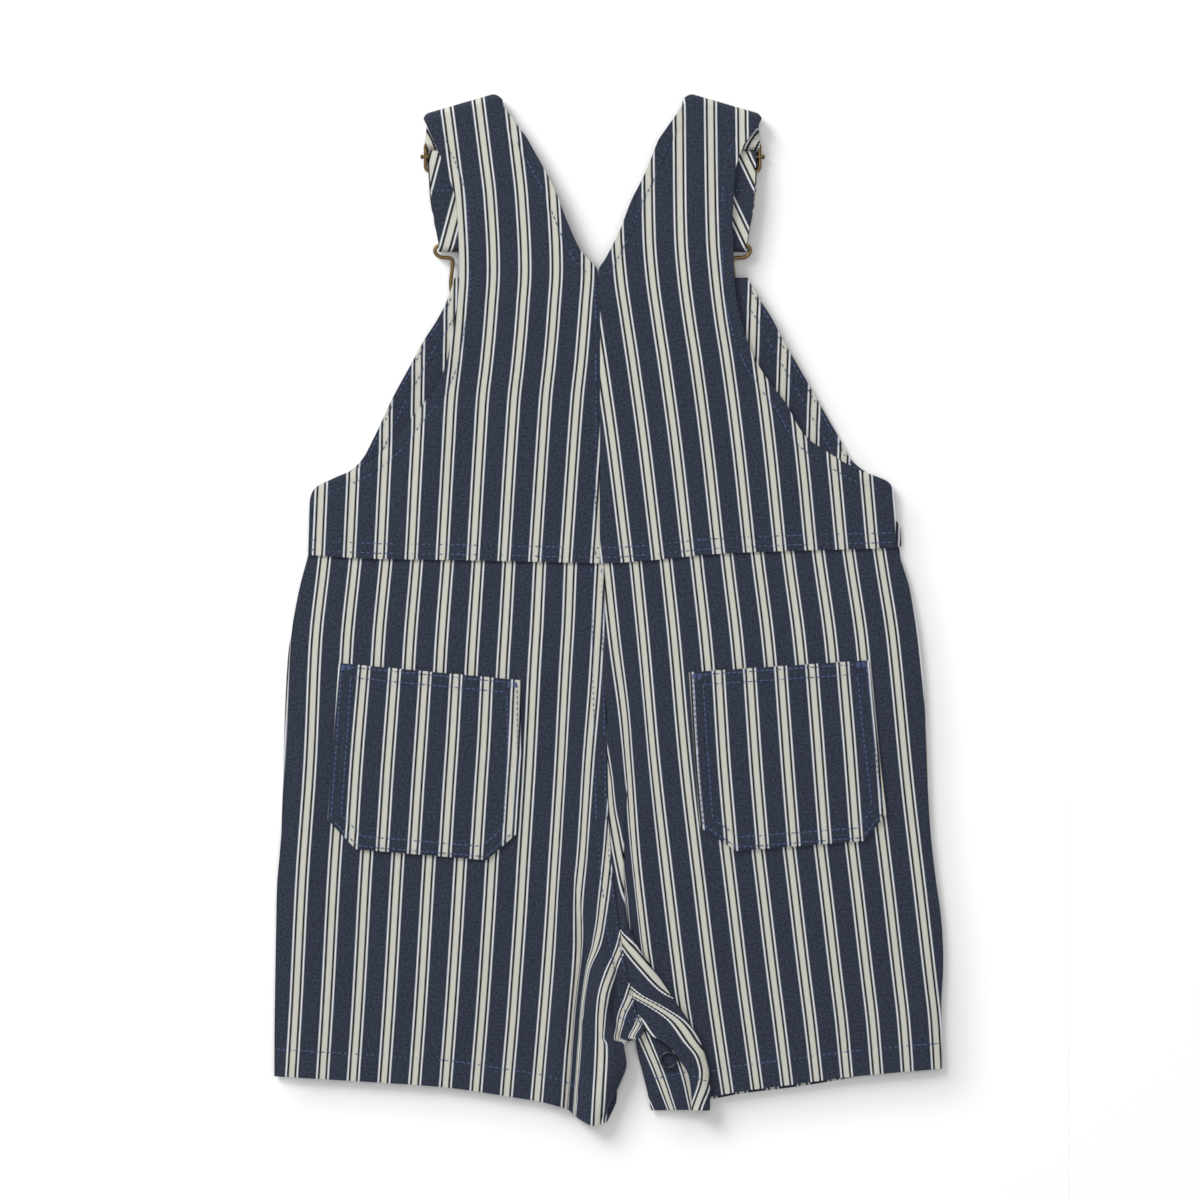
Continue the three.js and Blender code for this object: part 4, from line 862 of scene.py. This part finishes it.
def back_bib(name, table, side):
    s = np.linspace(0, 1, COLUMNS_BIB)
    low = TWILL + SEAM_GAP + 0.4 + DOUBLED / 2
    outer, inner = fine_rows(table, 2.2)
    along = outer[:, None, :] + (inner - outer)[:, None, :] * s[None, :, None]
    x, y = along[..., 0], along[..., 1]
    settle = 1 - ease((y - y[:1]) / 18)
    y = y + (waist_at(x) + SEAM_GAP - 0.9 - y[:1]) * settle
    z = low + (BACK_STRAP_Z - low) * ease((y - BACK_RISE["start"]) / (BACK_RISE["stop"] - BACK_RISE["start"]))
    z = z + SEAT_LOFT * (1 - np.exp(-s * 140 / SIDE_ROLL)) * (1 - ease((y - BACK_RISE["start"]) / 60))
    across = np.linalg.norm(inner - outer, axis=1)[:, None]
    edge_angle = np.linalg.norm(np.gradient(outer, axis=0), axis=1)[:, None]
    lean = np.abs(np.gradient(outer[:, 1]))[:, None] / np.maximum(edge_angle, 1e-6)
    from_armhole = s[None, :] * across * np.clip(lean, 0.35, 1)
    from_neck = (1 - s[None, :]) * across * np.where(y > 168, 0.84, 1.0)
    for inside, shown in ((from_armhole, ease((y - 58) / 8)), (from_neck, ease((y - 166) / 6))):
        z = z + hem_ridge(inside, 5.6, 0.28) * shown + pucker(y * 1.2, inside, 5.6, 0.09) * shown
    z = z - 0.45 * np.exp(-from_neck / 1.6) * (1 - ease((y - 160) / 8))
    from_seam = y - waist_at(x)
    z = z + hem_ridge(from_seam, 7.0, 0.3) + pucker(x * 1.1, from_seam, 7.0, 0.10)
    z = z + crease_height(x, y, BIB_CREASES)
    first_number, stripe_table = STRIPES_BIB[side]
    rows = [np.stack([x, y, z], -1)]
    laid_flat = [np.stack([x, y], -1)]
    ax = GARMENT_AXIS + side * SHOULDER["outer"]
    bx = GARMENT_AXIS + side * SHOULDER["inner"]
    a, b = np.array([ax, SHOULDER["outer_y"]]), np.array([bx, SHOULDER["inner_y"]])
    up = np.array([-(b - a)[1], (b - a)[0]])
    up = up / np.linalg.norm(up) * (1 if up[1] > 0 else -1)
    fold_line = a + (b - a) * s[:, None]
    rounded = 3.4 * np.clip((s - 0.9) / 0.1, 0, 1) ** 2.2 + 1.6 * np.clip((0.07 - s) / 0.07, 0, 1) ** 2
    fold_line = fold_line - up * rounded[:, None]
    last = rows[0][-1, :, :2]
    for k in range(1, 5):
        t = k / 5
        place = last + (fold_line - last) * t
        rows.append(np.concatenate([place, np.full((COLUMNS_BIB, 1), BACK_STRAP_Z) +
                                    (rows[0][-1:, :, 2].T - BACK_STRAP_Z) * (1 - t)], 1)[None])
        laid_flat.append(place[None])
    middle = FRONT_STRAP_Z + SHOULDER_ROLL
    for angle in np.linspace(math.pi / 2, -math.pi / 2, 15):
        place = fold_line + up * SHOULDER_ROLL * math.cos(angle)
        height = middle + SHOULDER_ROLL * math.sin(angle)
        rows.append(np.concatenate([place, height + np.zeros((COLUMNS_BIB, 1))], 1)[None])
        laid_flat.append((fold_line + up * SHOULDER_ROLL * (math.pi / 2 - angle))[None])

    def unfolded(place):
        below = (a - place) @ up
        return place + up * (2 * below + math.pi * SHOULDER_ROLL)[..., None]

    def run(run_table, height, flatten, over_bar=0.0):
        edge, other = strap_rows(run_table, side, 1.4)
        place = edge[:, None, :] + (other - edge)[:, None, :] * s[None, :, None]
        z = height + over_bar * ease((place[..., 1] - 228.4) / 2.6) * ease((240.5 - place[..., 1]) / 4)
        rows.append(np.concatenate([place, z[..., None]], 2))
        laid_flat.append(flatten(place))

    run(FRONT_RUN, FRONT_STRAP_Z, unfolded, over_bar=4.3)
    for table_row, angles, sign in ((FRONT_RUN[-1], np.linspace(-math.pi / 2, math.pi / 2, 12)[1:-1], -1),):
        ends = np.array([GARMENT_AXIS + side * table_row["outer"], GARMENT_AXIS + side * table_row["inner"]])
        bar = np.stack([ends[0] + (ends[1] - ends[0]) * s, np.full_like(s, BAR_Y)], -1)
        for angle in angles:
            place = bar + np.array([0, sign * STRAP_WRAP * math.cos(angle)])
            rows.append(np.concatenate([place, np.full((COLUMNS_BIB, 1), WIRE_Z + STRAP_WRAP * math.sin(angle))], 1)[None])
            laid_flat.append(unfolded(bar + np.array([0, -STRAP_WRAP * (angle + math.pi / 2)]))[None])

    def unfolded_twice(place):
        mirrored = place.copy()
        mirrored[..., 1] = 2 * BAR_Y - place[..., 1] - math.pi * STRAP_WRAP
        flat = unfolded(mirrored)
        flat[..., 0] -= side * RETURN_SKEW * (place[..., 1] - BAR_Y)
        return flat

    run(RETURN_RUN, RETURN_STRAP_Z, unfolded_twice)
    top = RETURN_RUN[-1]
    ends = np.array([GARMENT_AXIS + side * top["outer"], GARMENT_AXIS + side * top["inner"]])
    bar = np.stack([ends[0] + (ends[1] - ends[0]) * s, np.full_like(s, top["outer_y"])], -1)
    for angle in np.linspace(math.pi / 2, -0.15, 8)[1:]:
        place = bar + np.array([0, STRAP_WRAP * math.cos(angle)])
        rows.append(np.concatenate([place, np.full((COLUMNS_BIB, 1), WIRE_Z + STRAP_WRAP * math.sin(angle))], 1)[None])
        laid_flat.append(unfolded_twice(bar + np.array([0, STRAP_WRAP * (math.pi / 2 - angle)]))[None])
    points = np.concatenate(rows)
    flat = np.concatenate(laid_flat)
    stripes = even_stripes(stripe_table, (0, 4, 8), flat[..., 1], first_number=first_number)
    number = weave_number(flat[..., 0], stripes)
    return cloth(name, points, weave(number, flat[..., 1]), DOUBLED, stands_for=[name])


bib_left = back_bib("back_bib_left", BIB_LEFT, -1)
bib_right = back_bib("back_bib_right", BIB_RIGHT, 1)
print("bib and strap, each cut in one:", [round(sheet_area(p), 4) for p in (bib_left, bib_right)], "m2")

# %% [markdown]
# The rigid pieces come from the frame: sliders, hooks, buttons and the ring of the snap. They only need their metal.
# Antique brass is a brown plating that rubs bright on its high places, and the snap is darker.


# %% Metal finishes
def worn_metal(name, dark, bright, roughness):
    r = Recipe(name)
    place = r.node("ShaderNodeTexCoord").outputs["Object"]
    r.shader.inputs["Metallic"].default_value = 1.0
    r.shader.inputs["Roughness"].default_value = roughness
    patch = r.noise(place, 900.0, 4.0)
    r.feed(r.shader, "Base Color", r.mix(patch, dark, bright))
    r.feed(r.shader, "Normal", r.bump(patch, 0.3, 0.0002))
    return r.material


brass = worn_metal("antique_brass", colour(44, 34, 20), colour(150, 126, 84), 0.34)
dark_metal = worn_metal("dark_metal", colour(34, 36, 42), colour(84, 88, 98), 0.45)
for node_name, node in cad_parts.items():
    metal = dark_metal if node_name == "ring_snap" else brass
    node.data.materials.clear()
    node.data.materials.append(metal)

# %% [markdown]
# Sliders and hooks are bent from one wire. The frame's own are coarse, so each is made again as a curve with a round
# section, which is how wire is usually modelled: the points are its bends, and a smooth line runs through them.

# %% Wire sliders and hooks
WIRE = 1.9
SLIDER = dict(half_width=17.4, half_height=7.3, corner=2.5, overhang=1.9, y=225.5)
STRAP_MIDDLE = (RETURN_RUN[-1]["outer"] + RETURN_RUN[-1]["inner"]) / 2
HOOK_X = 64.3
HOOK_HALF = [(10.6, 181.2), (13.0, 180.9), (14.2, 179.7), (14.3, 177.9), (13.0, 176.2), (11.0, 175.3), (8.0, 175.1),
             (6.2, 174.5), (5.5, 172.7), (5.9, 168.6), (6.4, 164.0), (6.4, 160.0), (5.6, 155.5), (3.6, 151.2)]


def wire_loop(name, points):
    bpy.ops.object.select_all(action="DESELECT")
    bpy.ops.curve.primitive_nurbs_path_add(location=(0, 0, 0))
    wire = bpy.context.object
    wire.name = name
    wire.data.splines.clear()
    spline = wire.data.splines.new("POLY")
    spline.points.add(len(points) - 1)
    for point, (x, y) in zip(spline.points, points):
        point.co = (x * MM, y * MM, WIRE_Z * MM, 1)
    spline.use_cyclic_u = True
    wire.data.bevel_depth = WIRE / 2 * MM
    wire.data.bevel_resolution = 3
    bpy.ops.object.convert(target="MESH")
    return bpy.context.object


def hook(name, side):
    x = GARMENT_AXIS + side * HOOK_X
    bends = [(x, BAR_Y)] + [(x + out, y) for out, y in HOOK_HALF] + [(x, 149.4)]
    bends += [(x - out, y) for out, y in reversed(HOOK_HALF)] + [(x, BAR_Y)]
    return wire_loop(name, through([np.array(b) for b in bends], 4)[:-1])


def slider(name, side):
    x, y = GARMENT_AXIS + side * STRAP_MIDDLE, SLIDER["y"]
    outline = []
    for quarter, (sx, sy) in enumerate(((1, 1), (-1, 1), (-1, -1), (1, -1))):
        for k in range(7):
            angle = (quarter + k / 6) * math.pi / 2
            outline.append((x + sx * (SLIDER["half_width"] - SLIDER["corner"]) + SLIDER["corner"] * math.cos(angle),
                            y + sy * (SLIDER["half_height"] - SLIDER["corner"]) + SLIDER["corner"] * math.sin(angle)))
    parts = [wire_loop(name, outline)]
    reach = SLIDER["half_width"] + SLIDER["overhang"]
    bpy.ops.mesh.primitive_cylinder_add(vertices=16, radius=0.86 * MM, depth=2 * reach * MM,
                                        location=(x * MM, y * MM, WIRE_Z * MM), rotation=(0, math.pi / 2, 0))
    parts.append(bpy.context.object)
    for end in (-1, 1):
        bpy.ops.mesh.primitive_uv_sphere_add(segments=16, ring_count=10, radius=1.2 * MM,
                                             location=((x + end * reach) * MM, y * MM, WIRE_Z * MM))
        bpy.context.object.scale = (0.65, 1, 1)
        parts.append(bpy.context.object)
    bpy.ops.object.select_all(action="DESELECT")
    for part in parts:
        part.select_set(True)
    bpy.context.view_layer.objects.active = parts[0]
    bpy.ops.object.join()
    return bpy.context.object


for side_name, side in (("left", -1), ("right", 1)):
    for make, kind in ((slider, "slider"), (hook, "hook")):
        piece = make(f"{kind}_{side_name}_wire", side)
        bpy.ops.object.transform_apply(location=True, rotation=True, scale=True)
        bpy.ops.object.shade_smooth_by_angle(angle=math.radians(50))
        piece.data.materials.clear()
        piece.data.materials.append(brass)
        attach(piece, "root")
        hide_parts(f"{kind}_{side_name}")
        print(piece.name, "faces:", len(piece.data.polygons))

# %% [markdown]
# Topstitching in denim-blue thread. A row follows a line over the cloth, and each stitch is a small six-sided
# thread whose ends dip into the weave. A ray from above finds the cloth's surface under each stitch.

# %% Topstitching
THREAD = 0.62  # mm thick
STITCH, STITCH_GAP = 2.2, 0.6


class Seamstress:
    """Collects the stitches of one object and turns them into a mesh."""

    def __init__(self):
        self.vertices, self.faces = [], []

    def stitch(self, start, end):
        axis = (end - start)
        length = axis.length
        if length < 1e-6:
            return
        axis.normalize()
        side = axis.cross(Vector((0, 0, 1))).normalized()
        lift = side.cross(axis)
        first = len(self.vertices)
        for t, r, rise in ((0.0, 0.45, -0.22), (0.22, 1.0, 0.12), (0.78, 1.0, 0.12), (1.0, 0.45, -0.22)):
            centre = start + axis * length * t + Vector((0, 0, rise * MM))
            for k in range(6):
                angle = math.pi / 3 * k
                spoke = side * math.cos(angle) + lift * math.sin(angle) * 0.8
                self.vertices.append(centre + spoke * (THREAD / 2 * MM * r))
        for ring in range(3):
            for k in range(6):
                a, b = first + ring * 6 + k, first + ring * 6 + (k + 1) % 6
                self.faces.append((a, b, b + 6, a + 6))
        self.faces.append(tuple(first + k for k in reversed(range(6))))
        self.faces.append(tuple(first + 18 + k for k in range(6)))

    def row(self, line, trees):
        """Stitches along a line of (x, y) in mm, on the first of the surfaces that a ray from above meets."""
        points = [Vector((x * MM, y * MM, 0)) for x, y in line]
        places, travelled = [], 0.0
        for a, b in zip(points, points[1:]):
            length = (b - a).length
            while travelled < length:
                places.append(a + (b - a) * (travelled / length))
                travelled += (STITCH + STITCH_GAP) * MM
                places.append(a + (b - a) * min(1.0, (travelled - STITCH_GAP * MM) / length))
            travelled -= length
        for start, end in zip(places[::2], places[1::2]):
            ends = [self.on_cloth(p, trees) for p in (start, end)]
            if all(ends) and abs(ends[0].z - ends[1].z) < 1.2 * MM:
                self.stitch(*ends)

    @staticmethod
    def on_cloth(place, trees):
        hits = [tree.ray_cast(Vector((place.x, place.y, 0.03)), Vector((0, 0, -1)))[0] for tree in trees]
        hits = [hit for hit in hits if hit is not None]
        return max(hits, key=lambda hit: hit.z) if hits else None

    def finish(self, name):
        mesh = bpy.data.meshes.new(name)
        mesh.from_pydata([tuple(v) for v in self.vertices], [], self.faces)
        mesh.shade_smooth()
        piece = bpy.data.objects.new(name, mesh)
        bpy.context.collection.objects.link(piece)
        return piece


def tree_of(piece):
    return BVHTree.FromObject(piece, bpy.context.evaluated_depsgraph_get())


def offset_line(line, distance):
    """A line moved sideways, to the left of its direction for a positive distance."""
    moved = []
    for k, (x, y) in enumerate(line):
        ax, ay = line[max(k - 1, 0)]
        bx, by = line[min(k + 1, len(line) - 1)]
        length = math.hypot(bx - ax, by - ay)
        moved.append((x - (by - ay) / length * distance, y + (bx - ax) / length * distance))
    return moved


def inset_outline(corners, distance):
    """A closed outline moved inwards, its corners kept sharp."""
    count = len(corners)
    area = sum(corners[k][0] * corners[(k + 1) % count][1] - corners[(k + 1) % count][0] * corners[k][1]
               for k in range(count))
    turn = 1 if area > 0 else -1
    moved = []
    for k in range(count):
        (ax, ay), (bx, by), (cx, cy) = corners[k - 1], corners[k], corners[(k + 1) % count]
        ux, uy = (bx - ax), (by - ay)
        vx, vy = (cx - bx), (cy - by)
        lu, lv = math.hypot(ux, uy), math.hypot(vx, vy)
        n1, n2 = (-uy / lu * turn, ux / lu * turn), (-vy / lv * turn, vx / lv * turn)
        scale = distance / (1 + n1[0] * n2[0] + n1[1] * n2[1])
        moved.append((bx + (n1[0] + n2[0]) * scale, by + (n1[1] + n2[1]) * scale))
    return moved


def column_line(table, x_key, y_key, low=-1e3, high=1e3, count=60):
    """A smooth line through two columns of a table, between two heights."""
    edges = fine_rows(table, 3.0)[0 if x_key.startswith("outer") else 1]
    return [(x, y) for x, y in edges if low <= y <= high]


on_bibs = [tree_of(bib_left), tree_of(bib_right)]
on_front_bib = [tree_of(front_bib_piece)]
on_legs = [tree_of(back_left), tree_of(back_right)]
on_pockets = [tree_of(pocket_left), tree_of(pocket_right)]
thread = Seamstress()

waist_xs = np.arange(-149, 143.5, 3.0)
for above in (2.2, 7.0):
    thread.row([(x, float(waist_at(x)) + above) for x in waist_xs], on_bibs)
thread.row(offset_line(column_line(BIB_LEFT, "outer_x", "outer_y", low=61), -5.6), on_bibs[:1])
thread.row(offset_line(column_line(BIB_RIGHT, "outer_x", "outer_y", low=64), 5.6), on_bibs[1:])
thread.row(offset_line(column_line(BIB_LEFT, "inner_x", "inner_y", low=169), 5.4), on_bibs[:1])
thread.row(offset_line(column_line(BIB_RIGHT, "inner_x", "inner_y", low=169), -5.4), on_bibs[1:])
thread.row([(x - 2.0, y) for x, y in column_line(BIB_LEFT, "inner_x", "inner_y", low=26, high=164)], on_bibs[:1])
for inside in (1.5, 6.6):
    left_edge = [(float(flowing(FRONT_BIB, "left", y)), y) for y in range(66, 160, 3)]
    right_edge = [(float(flowing(FRONT_BIB, "right", y)), y) for y in range(66, 160, 3)]
    thread.row(offset_line(left_edge, -inside), on_front_bib)
    thread.row(offset_line(right_edge, inside), on_front_bib)
for corners in (corners_left, corners_right):
    for inside in (1.6, 6.6):
        outline = inset_outline(corners, inside)
        thread.row(outline + outline[:1], on_pockets)
for corners in (corners_left, corners_right):
    (left_x, left_y), (right_x, right_y) = corners[0], corners[-1]
    for k in range(4):
        down = 1.2 + 0.7 * k
        thread.row([(left_x + 1.2, left_y - down), (left_x + 6.4, left_y - down)], on_pockets)
        thread.row([(right_x - 6.4, right_y - down), (right_x - 1.2, right_y - down)], on_pockets)
seat_seam = [(float(flowing(BACK_LEFT, "inner", y)), y) for y in range(20, -209, -3)]
for beside in (1.0, 6.0):
    thread.row([(x - beside, y) for x, y in seat_seam], on_legs[:1])
hem_left_line = [(x, float(flowing(HEM_LEFT, "y", x, key="x")) + 13.5) for x in np.arange(-166, 1.6, 2.7)]
hem_right_line = [(x, float(flowing(HEM_RIGHT, "y", x, key="x")) + 12.8) for x in np.arange(51, 166, 3.0)]
thread.row(hem_left_line, on_legs[:1])
thread.row(hem_right_line, on_legs[1:])
for name, side in (("left", -1), ("right", 1)):
    xs = [GARMENT_AXIS + side * d for d in np.arange(71.2, 80.6, 1.3)]
    thread.row([(x, 208.3) for x in xs], [tree_of(bib_left if side < 0 else bib_right)])
thread.row([(22.5, -234.6), (30, -233.2), (40, -230.8)], [tree_of(placket_piece)])
thread.row([(41.5, -232.5), (45.5, -234.4), (49, -235.4)], on_legs[1:])
thread.row([(4.5, -203.5), (9.5, -206.5), (14.8, -203.6)], on_legs[:1])
stitches = thread.finish("stitches")
print("stitches:", len(thread.vertices) // 24)

# %% [markdown]
# Cotton thread has a soft shine and a twist; here it takes a fine bump from a noise, and the same noise mottles its
# colour.

# %% Thread finish
r = Recipe("denim_blue_thread")
place = r.node("ShaderNodeTexCoord").outputs["Object"]
tone = r.noise(place, 1400.0, 2.0)
r.feed(r.shader, "Base Color", r.mix(tone, colour(46, 60, 98), colour(80, 98, 142)))
r.shader.inputs["Roughness"].default_value = 0.7
r.feed(r.shader, "Normal", r.bump(tone, 0.4, 0.0001))
stitches.data.materials.append(r.material)
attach(stitches, "root")

# %% [markdown]
# A studio picture of clothes has a wide soft shadow on one side. The garment is too thin to throw it, so a finely
# divided sheet of paper under it carries a painted shadow in its colour: the garment's outline, moved to the lower
# right and blurred.

# %% Painted soft shadow on the floor
CELL = 2.0  # mm
SHADOW_SHIFT, SHADOW_BLUR, SHADOW_DEPTH = (11.5, -12.0), 8.0, 0.30
PAPER_HALF = (230, 310)


def soft_shadow():
    columns, rows = (int(2 * half / CELL) + 1 for half in PAPER_HALF)
    covered = np.zeros((rows, columns))
    for piece in (back_left, back_right, bib_left, bib_right, front_bib_piece, placket_piece):
        points = np.empty(len(piece.data.vertices) * 3)
        piece.data.vertices.foreach_get("co", points)
        points = points.reshape(-1, 3)[:, :2] / MM + SHADOW_SHIFT
        cell = np.round((points + PAPER_HALF) / CELL).astype(int)
        covered[np.clip(cell[:, 1], 0, rows - 1), np.clip(cell[:, 0], 0, columns - 1)] = 1
    reach = np.arange(-14, 15) * CELL
    kernel = np.exp(-0.5 * (reach / SHADOW_BLUR) ** 2)
    kernel = kernel / kernel.sum()
    blurred = np.apply_along_axis(lambda line: np.convolve(line, kernel, "same"), 0, covered)
    blurred = np.apply_along_axis(lambda line: np.convolve(line, kernel, "same"), 1, blurred)
    bpy.ops.object.select_all(action="DESELECT")
    bpy.ops.mesh.primitive_grid_add(x_subdivisions=columns - 1, y_subdivisions=rows - 1, size=2,
                                    location=(0, 0, -0.0001))
    paper_sheet = bpy.context.object
    paper_sheet.name = "floor_paper"
    paper_sheet.scale = (PAPER_HALF[0] * MM, PAPER_HALF[1] * MM, 1)
    bpy.ops.object.transform_apply(location=False, rotation=False, scale=True)
    # The 'shade' attribute holds the painted shadow: how far the floor's white is darkened at each point.
    attribute = paper_sheet.data.attributes.new("shade", "FLOAT", "POINT")
    place = np.empty(len(paper_sheet.data.vertices) * 3)
    paper_sheet.data.vertices.foreach_get("co", place)
    cell = np.round((place.reshape(-1, 3)[:, :2] / MM + PAPER_HALF) / CELL).astype(int)
    attribute.data.foreach_set("value", (SHADOW_DEPTH * blurred[cell[:, 1], cell[:, 0]]).astype(np.float32))
    paper_sheet.data.materials.append(paper.material)
    return float(blurred.max())


print("darkest part of the soft shadow:", round(soft_shadow(), 3))
